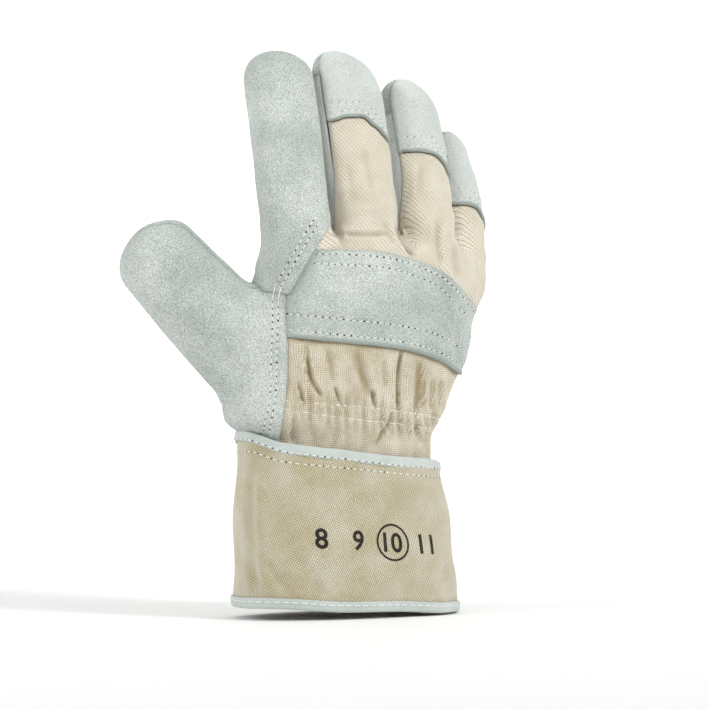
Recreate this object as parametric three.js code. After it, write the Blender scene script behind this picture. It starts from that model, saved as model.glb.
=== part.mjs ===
// Leather work glove for the right hand, with a canvas cuff. It keeps the form of a worn glove:
// hollow, fingers up, open at the hem. Millimetres.
// The origin is the middle of the hem's opening, where the hand goes in. +Z runs to the
// fingertips, the back of the hand faces -Y and the thumb points to -X.
import * as THREE from "three";

const { clamp, lerp, smoothstep, degToRad } = THREE.MathUtils;

// Wall thicknesses and gaps
const LEATHER_WALL = 1.5;
const COTTON_WALL = 1.2;
const STRAP_WALL = 1.2;
const CANVAS_WALL = 1.2;
const TAPE_WALL = 0.8;
const SEAM_GAP = 0.5;
const LAYER_GAP = 0.3;
const CAP_RISE = 0.4;

// How finely the hand is drawn: the spacing of its vertices, and how far they lie outside the
// true surface so that flat faces between them keep its size on average
const STEP = 8.6;
const SURFACE_LEVEL = 0.2;

// The palm and back: sections of the hand with a worn glove's width and depth. x and y are the
// section's middle, arch bends its sides towards the palm.
const HAND = [
  { z: 50, x: -3.4, y: 0, half: 47.2, deep: 22.4, arch: 0 },
  { z: 76, x: -3.4, y: 0, half: 47.2, deep: 22.4, arch: 0 },
  { z: 83, x: -3.4, y: 0, half: 47.6, deep: 22.3, arch: 0 },
  { z: 90, x: -6.6, y: 0, half: 54.4, deep: 25.2, arch: 0 },
  { z: 95, x: -5.5, y: 0, half: 56.2, deep: 26.2, arch: 0 },
  { z: 101, x: -2.9, y: 0.5, half: 56.4, deep: 26.8, arch: 1 },
  { z: 110, x: 2.6, y: 1, half: 56.0, deep: 27, arch: 2 },
  { z: 125, x: 9.5, y: 1, half: 56.0, deep: 26.5, arch: 4 },
  { z: 148, x: 14.2, y: 1, half: 57.6, deep: 23.5, arch: 7 },
  { z: 168, x: 16.8, y: 1, half: 57.8, deep: 19.5, arch: 9 },
  { z: 192, x: 18.4, y: 2, half: 57.0, deep: 15.5, arch: 11 },
];
const HAND_POWER = 2.4;
const KNUCKLE_Z = 164;
const KNUCKLE_DOME = 14;

// The digits: centre line from base to the middle of the round tip, half widths and half depths
// at base, middle and tip, the turn of the flat side, and how round and how slanted the tip is
const DIGITS = {
  index: {
    base: [-24.5, 1, 168], tip: [-27.2, 18, 253], bow: -2, roll: -20, skew: 0.06,
    half: [16.8, 16.8, 16.4], deep: [14, 13.5, 12.5], dome: 15.5, rootDome: 22,
  },
  middle: {
    base: [10.3, -3, 168], tip: [7.4, 14, 254], bow: -2, roll: -6, skew: 0.22,
    half: [16.3, 16.3, 15.9], deep: [13.5, 13, 12], dome: 15.5, rootDome: 22,
  },
  ring: {
    base: [43.8, 0, 166], tip: [44.2, 17, 236.5], bow: -2, roll: 10, skew: 0.35,
    half: [15.4, 15.2, 15], deep: [13.5, 12.5, 12], dome: 20, rootDome: 22,
  },
  little: {
    base: [67.2, 9, 166], tip: [72.4, 28, 213], bow: -2, roll: 30, skew: 0.35,
    half: [12.6, 12.8, 12], deep: [12.5, 12, 11], dome: 20, rootDome: 22,
  },
  thumb: {
    base: [-30.5, 4, 103], tip: [-86.6, 22, 166.4], bow: 0, roll: -20, skew: 0,
    half: [22.5, 23, 20.8], deep: [17, 15, 12.5], dome: 18.5, rootDome: 34,
  },
};
const FINGERS = ["index", "middle", "ring", "little"];
const DIGIT_POWER = 2.3;
const FINGER_WEB = 10;
const THUMB_WEB = 11;

// The middle of the space between two neighbouring fingers: x at z 200 and y 8, and how it leans
// above the crotches
const FINGER_SPACES = [
  { x: -7.7, perY: 0.1, perZ: -0.055 },
  { x: 27.3, perY: -0.08, perZ: 0 },
  { x: 62.2, perY: -0.5, perZ: 0.25 },
];
const SPACE_Y = 8;
const SPACE_Z = 200;
const SPACE_FOOT_Z = 176;

// Seams of the back, as marked on it when it is looked at from 28 degrees towards the thumb side:
// distance across that view, and height
const MARKING_TURN = degToRad(28);
const THUMB_WING_EDGE = [[-36, 40], [-32, 80], [-27.7, 101], [-27, 128], [-28.5, 134], [-28, 160]];
const INDEX_TAIL_EDGE = [[-80, 155], [-43.5, 153.3], [-26.5, 150.9], [-13.9, 173.4], [-6.7, 185.2]];
const STRAP_UPPER_EDGE = [[-40, 173.5], [10.5, 172], [25.2, 170.3], [42.1, 164.4], [50.7, 159.8], [66, 142]];
const STRAP_LOWER_EDGE = [[-40, 132], [-9.1, 128.5], [25.2, 125.5], [42.1, 120.8], [51.7, 114.8], [60, 109]];
const STRAP_LAP = 6;
const INDEX_CROTCH_Z = 184;

// The seam between back and palm, and the palm's edge along a finger's side strip, as shares of
// the half depth. The strips between the fingers end on the fingertips' sides.
const BACK_SEAM = 0.3;
const PALM_SEAM = -0.4;
const SIDE_STRIP_START = 0.22;
const SIDE_STRIP_FOOT_Z = 166;
const SIDE_STRIP_PAST_TIP = 2;
const SIDE_STRIP_JOIN = 3;
const WING_WRAP = 0.35;
const THUMB_SLEEVE_START = 14;

// The seam across the palm under the fronts of the middle and ring finger: x and height
const FRONT_SEAM = [[-12, 184], [10, 181], [27, 187], [45, 177], [66, 177]];

// Leather caps over three fingertips: where the cap's edge crosses the finger, and how much lower
// it runs on the side that faces the little finger
const CAPS = {
  middle: { start: 67, drop: 11 },
  ring: { start: 53, drop: 9 },
  little: { start: 27, drop: 9 },
};

// Broad hollows in the leather and cotton: a line on the back, in the marking view
const HOLLOWS = [
  { from: [-70, 132], to: [-47, 112], deep: 2.6, wide: 9 },
  { from: [-57, 152], to: [-38, 140], deep: 1.8, wide: 8 },
  { from: [-3, 181], to: [20, 179], deep: 1.0, wide: 8 },
  { from: [26, 184], to: [32, 170], deep: 1.4, wide: 7 },
];

// Folds of the cotton that the elastic rows draw together, on the back below the strap
const FOLDS = [
  { from: [-19, 127], to: [-10, 103], deep: 1.8, wide: 4 },
  { from: [-27, 112], to: [-20, 100], deep: 1.6, wide: 4 },
  { from: [-4, 106], to: [-1, 98], deep: 1.8, wide: 4 },
  { from: [3, 125], to: [15, 97], deep: 2.2, wide: 4 },
  { from: [26, 125], to: [24, 96], deep: 2.8, wide: 5 },
  { from: [36, 118], to: [34, 96], deep: 1.8, wide: 4 },
  { from: [45, 112], to: [40, 92], deep: 1.6, wide: 4 },
  { from: [21, 94], to: [14, 81], deep: 2.0, wide: 4 },
];
const ELASTIC_ROW = [[-27, 100.5], [12, 98.5], [38, 93.5], [52, 90]];
const PUCKER = { deep: 0.9, pitch: 10.5, spread: 9 };

// The cuff: sections from hem to top, its slanted hem and top, and the bindings on both edges
const CUFF = [
  { z: 0, x: -0.4, half: 57.6, deep: 29.6 },
  { z: 20, x: -0.8, half: 56.3, deep: 29.0 },
  { z: 50, x: -2.2, half: 54.4, deep: 28.0 },
  { z: 66, x: -3.4, half: 52.6, deep: 27.0 },
  { z: 76, x: -4.2, half: 51.2, deep: 26.2 },
];
const HEM_EDGE = { z: 1, perX: -0.045 };
const TOP_EDGE = { z: 76.5, perX: -0.11 };
const CUFF_SIDES = 36;
const CUFF_POWER = 2.4;
const CUFF_RIPPLE = 0.8;
const BINDING_HEIGHT = 5.2;
const HAND_TUCK = 9;

// Finishes
const SUEDE = { color: 0xc0c9c4, roughness: 0.92, metalness: 0 };
const COTTON = { color: 0xdccfb4, roughness: 0.95, metalness: 0 };
const CANVAS = { color: 0xcfc2a4, roughness: 0.95, metalness: 0 };
const TAPE = { color: 0xdce5e3, roughness: 0.85, metalness: 0 };

// One column of a table at height z, on a smooth curve through its rows
function column(rows, key, z) {
  const last = rows.length - 1;
  const height = clamp(z, rows[0].z, rows[last].z);
  let i = 0;
  while (i < last - 1 && height >= rows[i + 1].z) i += 1;
  const slope = (k) => {
    const before = rows[Math.max(k - 1, 0)];
    const after = rows[Math.min(k + 1, last)];
    return (after[key] - before[key]) / (after.z - before.z);
  };
  const span = rows[i + 1].z - rows[i].z;
  const t = (height - rows[i].z) / span;
  const ease = t * t * (3 - 2 * t);
  const leave = t * (1 - t) * (1 - t) * span * slope(i);
  const arrive = t * t * (1 - t) * span * slope(i + 1);
  return lerp(rows[i][key], rows[i + 1][key], ease) + leave - arrive;
}

// A value along a digit from its sizes at base, middle and tip
function along(sizes, t) {
  const [base, middle, tip] = sizes;
  return base * (1 - t) * (1 - 2 * t) + 4 * middle * t * (1 - t) + tip * t * (2 * t - 1);
}

// About the distance to a tube with half width a and half depth b, rounded off over the length c
// where past is more than 0
function tubeDistance(u, v, past, a, b, c, power) {
  const round = 2.2;
  const x = Math.abs(u) / a;
  const y = Math.abs(v) / b;
  const ring = Math.max((x ** power + y ** power) ** (1 / power), 1e-3);
  const ringSlope = ring ** (1 - power) * Math.hypot(x ** (power - 1) / a, y ** (power - 1) / b);
  const end = Math.max(past, 0) / c;
  const level = Math.max((ring ** round + end ** round) ** (1 / round), 1e-3);
  const slope = level ** (1 - round)
    * Math.hypot(ring ** (round - 1) * ringSlope, end ** (round - 1) / c);
  return (level - 1) / Math.max(slope, 1e-4);
}

// Where a point lies in the hand's section at its height
function handPlace(p) {
  const half = column(HAND, "half", p.z);
  const u = p.x - column(HAND, "x", p.z);
  const bend = column(HAND, "arch", p.z) * (u / half) ** 2;
  return { u, v: p.y - column(HAND, "y", p.z) - bend, half, deep: column(HAND, "deep", p.z) };
}

function handDistance(p, place) {
  return tubeDistance(place.u, place.v, p.z - KNUCKLE_Z, place.half, place.deep, KNUCKLE_DOME, HAND_POWER);
}

// Each digit's own axes: along its length, across its width, and through its depth to the palm
for (const digit of Object.values(DIGITS)) {
  const roll = degToRad(digit.roll);
  digit.origin = new THREE.Vector3(...digit.base);
  digit.axis = new THREE.Vector3(...digit.tip).sub(digit.origin);
  digit.length = digit.axis.length();
  digit.axis.normalize();
  digit.across = new THREE.Vector3(Math.cos(roll), Math.sin(roll), 0).projectOnPlane(digit.axis).normalize();
  digit.palmward = new THREE.Vector3().crossVectors(digit.axis, digit.across);
}

// Where a point lies along, across and through a digit
function digitPlace(p, digit) {
  const rel = p.clone().sub(digit.origin);
  const s = rel.dot(digit.axis);
  const t = clamp(s / digit.length, 0, 1);
  const bend = digit.bow * 4 * t * (1 - t);
  return {
    s,
    u: rel.dot(digit.across),
    v: rel.dot(digit.palmward) - bend,
    half: along(digit.half, t),
    deep: along(digit.deep, t),
  };
}

function digitDistance(digit, place) {
  const past = place.s > 0
    ? place.s - digit.length + digit.skew * place.u
    : (-place.s * digit.dome) / digit.rootDome;
  return tubeDistance(place.u, place.v, past, place.half, place.deep, digit.dome, DIGIT_POWER);
}

// The smaller of two distances, with a fillet where they meet
function webbed(a, b, reach) {
  const h = Math.max(reach - Math.abs(a - b), 0) / reach;
  return Math.min(a, b) - (h * h * reach) / 4;
}

// About the distance from a point to the outside of the glove's hand, negative inside
function handForm(p) {
  const distance = (name) => digitDistance(DIGITS[name], digitPlace(p, DIGITS[name]));
  const palmAndThumb = webbed(handDistance(p, handPlace(p)), distance("thumb"), THUMB_WEB);
  return webbed(palmAndThumb, Math.min(...FINGERS.map(distance)), FINGER_WEB);
}

function slopeOf(p) {
  const e = 0.05;
  const part = (key) => {
    const ahead = p.clone();
    const behind = p.clone();
    ahead[key] += e;
    behind[key] -= e;
    return (handForm(ahead) - handForm(behind)) / (2 * e);
  };
  return new THREE.Vector3(part("x"), part("y"), part("z"));
}

// Moves a point onto the hand's surface
function settle(p, rounds) {
  for (let round = 0; round < rounds; round += 1) {
    const slope = slopeOf(p);
    const move = (SURFACE_LEVEL - handForm(p)) / Math.max(slope.lengthSq(), 0.04);
    p.addScaledVector(slope, clamp(move, -3, 3));
  }
}

// Signed distance from a seam line, positive on its left when walked from its first point
function sideOf(line, across, height) {
  let nearest = Infinity;
  let side = 0;
  for (let i = 0; i + 1 < line.length; i += 1) {
    const [x, z] = line[i];
    const dx = line[i + 1][0] - x;
    const dz = line[i + 1][1] - z;
    const t = ((across - x) * dx + (height - z) * dz) / (dx * dx + dz * dz);
    const start = i === 0 ? -Infinity : 0;
    const end = i + 2 === line.length ? Infinity : 1;
    const on = clamp(t, start, end);
    const ex = across - x - on * dx;
    const ez = height - z - on * dz;
    if (Math.hypot(ex, ez) < nearest) {
      nearest = Math.hypot(ex, ez);
      side = Math.sign(dx * ez - dz * ex) * nearest;
    }
  }
  return side;
}

// The depth of grooves at a place of the marking view
function grooves(rows, across, height) {
  let depth = 0;
  for (const { from, to, deep, wide } of rows) {
    const dx = to[0] - from[0];
    const dz = to[1] - from[1];
    const t = clamp(((across - from[0]) * dx + (height - from[1]) * dz) / (dx * dx + dz * dz), 0, 1);
    const away = Math.hypot(across - from[0] - t * dx, height - from[1] - t * dz);
    depth += deep * Math.exp(-((away / wide) ** 2) * 2);
  }
  return depth;
}

const acrossMarking = (p) => p.x * Math.cos(MARKING_TURN) - p.y * Math.sin(MARKING_TURN);

// Every seam's field at a point: negative inside the piece that it names, in millimetres
function seamFields(p) {
  const across = acrossMarking(p);
  const hand = handPlace(p);
  const handGap = handDistance(p, hand);
  const place = {};
  const gap = {};
  for (const name of Object.keys(DIGITS)) {
    place[name] = digitPlace(p, DIGITS[name]);
    gap[name] = digitDistance(DIGITS[name], place[name]);
  }
  const fingerGap = Math.min(...FINGERS.map((name) => gap[name]));
  const nearest = (name) => {
    const others = FINGERS.filter((other) => other !== name).map((other) => gap[other]);
    return (gap[name] - Math.min(...others)) / 2;
  };

  // Seams that run on from the hand to the fingers blend each one's own measure
  const blend = (share) => {
    const sections = [[handGap, hand], ...FINGERS.map((name) => [gap[name], place[name]])];
    const closest = Math.min(handGap, fingerGap);
    let sum = 0;
    let total = 0;
    for (const [distance, section] of sections) {
      const weight = Math.exp((closest - distance) / 3);
      sum += weight * (section.v + share * section.deep);
      total += weight;
    }
    return sum / total;
  };
  const back = blend(BACK_SEAM);
  const palmEdge = blend(PALM_SEAM);

  const indexSide = smoothstep(place.index.u / place.index.half, -0.3, 0.3);
  const aboveTail = sideOf(INDEX_TAIL_EDGE, across, p.z);
  const index = Math.max(
    lerp(palmEdge, back, indexSide),
    -aboveTail,
    Math.min(nearest("index"), p.z - INDEX_CROTCH_Z),
  );

  const { u, v, half, deep, s } = place.thumb;
  const sleeve = Math.max((gap.thumb - Math.min(handGap, fingerGap)) / 2, THUMB_SLEEVE_START - s);
  const wing = Math.max(
    -sideOf(THUMB_WING_EDGE, across, p.z),
    aboveTail,
    hand.v - WING_WRAP * hand.deep,
  );
  const thumbSeam = v + deep * (-0.1 + 0.55 * smoothstep(u / half, -0.4, 0.6));

  const facing = (left, right) => {
    const others = FINGERS.filter((name) => name !== left && name !== right);
    const pair = Math.min(gap[left], gap[right]) - Math.min(...others.map((name) => gap[name]));
    const toRight = (gap[left] - gap[right]) / 2;
    const pastTip = (name) => place[name].s - DIGITS[name].length - SIDE_STRIP_PAST_TIP;
    const start = (name) => SIDE_STRIP_START * place[name].half;
    const sides = Math.min(
      Math.max(toRight - SIDE_STRIP_JOIN, start(left) - place[left].u, pastTip(left)),
      Math.max(-toRight - SIDE_STRIP_JOIN, start(right) + place[right].u, pastTip(right)),
    );
    return Math.max(pair / 2, sides, SIDE_STRIP_FOOT_Z - p.z);
  };
  const cap = (name) => {
    const { start, drop } = CAPS[name];
    const lower = drop * smoothstep(place[name].u / place[name].half, -0.1, 1);
    return Math.max(nearest(name), start - lower - place[name].s);
  };
  const aboveFront = sideOf(FRONT_SEAM, p.x, p.z);
  const strapHead = sideOf(STRAP_UPPER_EDGE, across, p.z);
  const strapFoot = sideOf(STRAP_LOWER_EDGE, across, p.z);
  return {
    tuck: TOP_EDGE.z + TOP_EDGE.perX * p.x - HAND_TUCK - p.z,
    back,
    index,
    thumb: Math.min(sleeve, wing),
    thumbFront: Math.max(sleeve, -thumbSeam),
    palmEdge,
    frontMiddle: Math.max(nearest("middle"), -aboveFront),
    frontRing: Math.max(nearest("ring"), -aboveFront),
    facingIndexMiddle: facing("index", "middle"),
    facingMiddleRing: facing("middle", "ring"),
    facingRingLittle: facing("ring", "little"),
    capMiddle: cap("middle"),
    capRing: cap("ring"),
    capLittle: cap("little"),
    strapHead,
    strapFoot,
    upperLap: strapHead + STRAP_LAP,
    lowerLap: strapFoot - STRAP_LAP,
  };
}

// Between the seam of the back and the palm's edge lie the strips that join two fingers' sides
const stripSeam = (m) => Math.min(m.facingIndexMiddle, m.facingMiddleRing, m.facingRingLittle);
const inStrip = (facing) => (m) => Math.max(-m.back, m.palmEdge, m[facing], -m.index);
const stripIndexMiddle = inStrip("facingIndexMiddle");
const stripMiddleRing = inStrip("facingMiddleRing");
const stripRingLittle = inStrip("facingRingLittle");
const onPalm = (m) => -Math.min(
  m.back,
  m.index,
  m.thumb,
  stripIndexMiddle(m),
  stripMiddleRing(m),
  stripRingLittle(m),
);

// The lines that the surface is cut along, in this order, each only where its neighbourhood holds.
// Both laps end under the strap.
const offThumb = (m) => m.thumb > -STEP / 2;
const behind = (m) => m.back < STEP && offThumb(m);
const betweenSeams = (m) => m.back > -STEP && m.palmEdge < STEP;
const SEAMS = [
  { name: "tuck", near: () => true },
  { name: "thumb", near: () => true },
  { name: "thumbFront", near: (m) => m.thumb < STEP },
  { name: "index", near: offThumb },
  { name: "back", near: (m) => offThumb(m) && m.index > -STEP / 2 },
  { name: "palmEdge", near: (m) => stripSeam(m) < STEP && m.back > -STEP && m.index > -STEP / 2 },
  { name: "facingIndexMiddle", near: betweenSeams },
  { name: "facingMiddleRing", near: betweenSeams },
  { name: "facingRingLittle", near: betweenSeams },
  { name: "frontMiddle", near: (m) => m.back > STEP },
  { name: "frontRing", near: (m) => m.back > STEP },
  { name: "capMiddle", near: behind },
  { name: "capRing", near: behind },
  { name: "capLittle", near: behind },
  { name: "strapHead", near: behind },
  { name: "strapFoot", near: behind },
  { name: "upperLap", near: behind },
  { name: "lowerLap", near: behind },
];

// The pieces of the hand. Each takes the faces of the surface where its inside field is negative,
// as a wall from outer to inner, measured outwards from the surface.
const leather = { outer: 0, inner: -LEATHER_WALL, finish: SUEDE };
const cotton = { outer: -LAYER_GAP / 2, inner: -LAYER_GAP / 2 - COTTON_WALL, finish: COTTON };
const strap = { outer: LAYER_GAP / 2 + STRAP_WALL, inner: LAYER_GAP / 2, finish: SUEDE };
const cap = { outer: CAP_RISE, inner: CAP_RISE - LEATHER_WALL, finish: SUEDE };
const onBack = (m) => Math.max(m.tuck, m.back, -m.index, -m.thumb);
const beyond = (...fields) => -Math.min(...fields);
const PANELS = [
  {
    name: "palm_leather",
    ...leather,
    inside: (m) => Math.max(m.tuck, onPalm(m), beyond(m.frontMiddle, m.frontRing)),
  },
  { name: "middle_front_leather", ...leather, inside: (m) => Math.max(onPalm(m), m.frontMiddle) },
  { name: "ring_front_leather", ...leather, inside: (m) => Math.max(onPalm(m), m.frontRing) },
  { name: "index_leather", ...leather, inside: (m) => Math.max(m.index, -m.thumb) },
  { name: "thumb_back_leather", ...leather, inside: (m) => Math.max(m.tuck, m.thumb, -m.thumbFront) },
  { name: "thumb_front_leather", ...leather, inside: (m) => Math.max(m.tuck, m.thumbFront) },
  { name: "side_strip_index_middle", ...leather, inside: stripIndexMiddle },
  { name: "side_strip_middle_ring", ...leather, inside: stripMiddleRing },
  { name: "side_strip_ring_little", ...leather, inside: stripRingLittle },
  {
    name: "back_upper_cotton",
    ...cotton,
    inside: (m) => Math.max(onBack(m), beyond(m.capMiddle, m.capRing, m.capLittle), -m.upperLap),
  },
  { name: "back_lower_cotton", ...cotton, inside: (m) => Math.max(onBack(m), m.lowerLap), folded: true },
  { name: "knuckle_strap", ...strap, inside: (m) => Math.max(onBack(m), m.strapHead, -m.strapFoot) },
  { name: "fingertip_cap_middle", ...cap, inside: (m) => Math.max(m.back, m.capMiddle) },
  { name: "fingertip_cap_ring", ...cap, inside: (m) => Math.max(m.back, m.capRing) },
  { name: "fingertip_cap_little", ...cap, inside: (m) => Math.max(m.back, m.capLittle) },
];

// A grid of points round the hand whose planes bend to run between the fingers
function handGrid() {
  const low = new THREE.Vector3(-118, -44, 58);
  const high = new THREE.Vector3(98, 56, 277);
  const ny = Math.ceil((high.y - low.y) / STEP) + 1;
  const nz = Math.ceil((high.z - low.z) / STEP) + 1;
  const space = ({ x, perY, perZ }, y, z) => (
    x + perY * (y - SPACE_Y) + perZ * (Math.max(z, SPACE_FOOT_Z) - SPACE_Z)
  );
  const walls = [
    () => low.x,
    ...FINGER_SPACES.map((row) => (y, z) => space(row, y, z)),
    () => high.x,
  ];
  const planes = [];
  for (let w = 0; w + 1 < walls.length; w += 1) {
    const width = walls[w + 1](SPACE_Y, SPACE_Z) - walls[w](SPACE_Y, SPACE_Z);
    const parts = Math.round(width / STEP);
    for (let part = 0; part < parts; part += 1) {
      planes.push((y, z) => lerp(walls[w](y, z), walls[w + 1](y, z), part / parts));
    }
  }
  planes.push(walls[walls.length - 1]);
  const point = (i, j, k) => {
    const y = low.y + STEP * j;
    const z = low.z + STEP * k;
    return new THREE.Vector3(planes[i](y, z), y, z);
  };
  return { size: [planes.length, ny, nz], point };
}

// The surface where the form changes sign, as one vertex in each grid cell that it crosses and one
// four-sided face round each grid edge that it crosses
function surfaceNet({ size, point }) {
  const [nx, ny, nz] = size;
  const index = (i, j, k) => (i * ny + j) * nz + k;
  const nodes = [];
  for (let i = 0; i < nx; i += 1) {
    for (let j = 0; j < ny; j += 1) {
      for (let k = 0; k < nz; k += 1) nodes.push(point(i, j, k));
    }
  }
  const values = nodes.map(handForm);
  const corners = [0, 1, 2, 3, 4, 5, 6, 7].map((n) => [n >> 2, (n >> 1) & 1, n & 1]);
  const edges = [];
  corners.forEach((a, m) => corners.slice(m + 1).forEach((b) => {
    if (a.filter((value, axis) => value !== b[axis]).length === 1) edges.push([a, b]);
  }));
  const vertices = [];
  const vertexOf = new Map();
  for (let i = 0; i + 1 < nx; i += 1) {
    for (let j = 0; j + 1 < ny; j += 1) {
      for (let k = 0; k + 1 < nz; k += 1) {
        const sum = new THREE.Vector3();
        let count = 0;
        for (const [a, b] of edges) {
          const start = index(i + a[0], j + a[1], k + a[2]);
          const end = index(i + b[0], j + b[1], k + b[2]);
          if (values[start] < 0 !== values[end] < 0) {
            const t = values[start] / (values[start] - values[end]);
            sum.add(nodes[start].clone().lerp(nodes[end], t));
            count += 1;
          }
        }
        if (count) {
          vertexOf.set(index(i, j, k), vertices.length);
          vertices.push(sum.divideScalar(count));
        }
      }
    }
  }
  const faces = [];
  const visit = (cell, axis) => {
    const next = [...cell];
    next[axis] += 1;
    const inside = values[index(...cell)] < 0;
    if (inside === values[index(...next)] < 0) return;
    const [b, c] = [(axis + 1) % 3, (axis + 2) % 3];
    const around = [[-1, -1], [0, -1], [0, 0], [-1, 0]].map(([db, dc]) => {
      const other = [...cell];
      other[b] += db;
      other[c] += dc;
      return other.some((value) => value < 0) ? undefined : vertexOf.get(index(...other));
    });
    if (around.includes(undefined)) return;
    faces.push(inside ? around : around.reverse());
  };
  for (let i = 0; i < nx; i += 1) {
    for (let j = 0; j < ny; j += 1) {
      for (let k = 0; k < nz; k += 1) {
        if (i + 1 < nx) visit([i, j, k], 0);
        if (j + 1 < ny) visit([i, j, k], 1);
        if (k + 1 < nz) visit([i, j, k], 2);
      }
    }
  }
  return { vertices, faces };
}

// Evens out a net's vertices and keeps them on the surface
function relax({ vertices, faces }, rounds) {
  const neighbours = vertices.map(() => new Set());
  for (const face of faces) {
    face.forEach((a, n) => {
      const b = face[(n + 1) % 4];
      neighbours[a].add(b);
      neighbours[b].add(a);
    });
  }
  for (let round = 0; round < rounds; round += 1) {
    const moved = vertices.map((vertex, n) => {
      const middle = new THREE.Vector3();
      neighbours[n].forEach((other) => middle.add(vertices[other]));
      return vertex.clone().lerp(middle.divideScalar(neighbours[n].size), 0.5);
    });
    moved.forEach((vertex, n) => {
      settle(vertex, 2);
      vertices[n] = vertex;
    });
  }
}

// The whole surface of the hand: points with their outward direction and seam fields, and triangles
function handSurface() {
  const net = surfaceNet(handGrid());
  relax(net, 3);
  const points = net.vertices.map((vertex) => {
    settle(vertex, 3);
    const normal = slopeOf(vertex).normalize();
    const onBackSide = smoothstep(-normal.y, 0, 0.5);
    const at = vertex.clone();
    at.addScaledVector(normal, -onBackSide * grooves(HOLLOWS, acrossMarking(vertex), vertex.z));
    return { at, normal, fields: seamFields(vertex), sewn: false };
  });
  const faces = [];
  for (const [a, b, c, d] of net.faces) {
    const first = points[a].at.distanceTo(points[c].at);
    const second = points[b].at.distanceTo(points[d].at);
    if (first < second) faces.push([a, b, c], [a, c, d]);
    else faces.push([a, b, d], [b, c, d]);
  }
  return { points, faces };
}

// The weighted middle of several points
function blendOf(points, weights) {
  const total = weights.reduce((sum, weight) => sum + weight, 0);
  const mean = (pick) => points.reduce(
    (sum, point, n) => sum.addScaledVector(pick(point), weights[n] / total),
    new THREE.Vector3(),
  );
  const fields = {};
  for (const key of Object.keys(points[0].fields)) {
    fields[key] = points.reduce((sum, point, n) => sum + (point.fields[key] * weights[n]) / total, 0);
  }
  return { at: mean((point) => point.at), normal: mean((point) => point.normal), fields, sewn: false };
}

const edgesOf = ([a, b, c]) => [[a, b], [b, c], [c, a]];
const edgeKey = (a, b) => `${Math.min(a, b)},${Math.max(a, b)}`;

// Cuts a surface's triangles along the line where a seam's field is 0. A point that is close to the
// line and on no earlier seam moves onto it, so that no slivers are left.
function cutAlong({ points, faces }, { name, near }) {
  const close = 0.25;
  const onLine = 0.1;
  const onLineWhenSewn = 0.9;
  for (const { fields, sewn } of points) {
    if (Math.abs(fields[name]) < (sewn ? onLineWhenSewn : onLine)) fields[name] = 0;
  }
  const value = (n) => points[n].fields[name];
  const share = (a, b) => value(a) / (value(a) - value(b));
  const crosses = (a, b) => value(a) * value(b) < 0 && near(points[a].fields) && near(points[b].fields);
  const edges = new Map();
  faces.forEach((face) => edgesOf(face).forEach(([a, b]) => edges.set(edgeKey(a, b), [a, b])));

  const targets = new Map();
  for (const [a, b] of edges.values()) {
    if (crosses(a, b)) {
      const t = share(a, b);
      const owner = t < 0.5 ? a : b;
      if (Math.min(t, 1 - t) < close && !points[owner].sewn) {
        const crossing = blendOf([points[a], points[b]], [1 - t, t]);
        targets.set(owner, [...(targets.get(owner) ?? []), crossing]);
      }
    }
  }
  for (const [owner, crossings] of targets) {
    points[owner] = blendOf(crossings, crossings.map(() => 1));
    points[owner].fields[name] = 0;
    points[owner].sewn = true;
  }

  const middles = new Map();
  for (const [key, [a, b]] of edges) {
    if (crosses(a, b)) {
      const t = share(a, b);
      const middle = blendOf([points[a], points[b]], [1 - t, t]);
      middle.fields[name] = 0;
      middle.sewn = true;
      middles.set(key, points.length);
      points.push(middle);
    }
  }
  const result = [];
  for (const face of faces) {
    const outline = [];
    const cuts = [];
    for (const [a, b] of edgesOf(face)) {
      outline.push(a);
      const middle = middles.get(edgeKey(a, b));
      if (middle !== undefined) {
        cuts.push(outline.length);
        outline.push(middle);
      }
    }
    // The outline is walked from a cut, so that a split runs from there and keeps both sides apart
    const count = outline.length;
    const from = cuts.length === 2 && (cuts[1] - cuts[0]) % count === 2 ? cuts[1] : cuts[0] ?? 0;
    const turned = outline.map((_, n) => outline[(n + from) % count]);
    for (let n = 1; n + 1 < count; n += 1) result.push([turned[0], turned[n], turned[n + 1]]);
  }
  return { points, faces: result };
}

// The faces of a surface that belong to a panel
function patchOf({ points, faces }, inside) {
  return {
    points,
    faces: faces.filter((face) => {
      const middle = blendOf(face.map((n) => points[n]), [1, 1, 1]);
      return inside(middle.fields) < 0;
    }),
  };
}

// Splits each triangle of a patch into four
function refine({ points, faces }) {
  const all = [...points];
  const middles = new Map();
  const middle = (a, b) => {
    const key = edgeKey(a, b);
    if (!middles.has(key)) {
      middles.set(key, all.length);
      all.push(blendOf([points[a], points[b]], [1, 1]));
    }
    return middles.get(key);
  };
  const result = [];
  for (const [a, b, c] of faces) {
    const [ab, bc, ca] = [middle(a, b), middle(b, c), middle(c, a)];
    result.push([a, ab, ca], [ab, b, bc], [ca, bc, c], [ab, bc, ca]);
  }
  return { points: all, faces: result };
}

// Groups faces that share an edge, the largest group first
function groupsOf(faces) {
  const owner = new Map();
  faces.forEach((face, n) => edgesOf(face).forEach(([a, b]) => owner.set(`${a},${b}`, n)));
  const seen = new Set();
  const groups = [];
  faces.forEach((_, start) => {
    if (seen.has(start)) return;
    const group = [start];
    seen.add(start);
    for (let n = 0; n < group.length; n += 1) {
      for (const [a, b] of edgesOf(faces[group[n]])) {
        const other = owner.get(`${b},${a}`);
        if (other !== undefined && !seen.has(other)) {
          seen.add(other);
          group.push(other);
        }
      }
    }
    groups.push(group.map((n) => faces[n]));
  });
  return groups.sort((a, b) => b.length - a.length);
}

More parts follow.
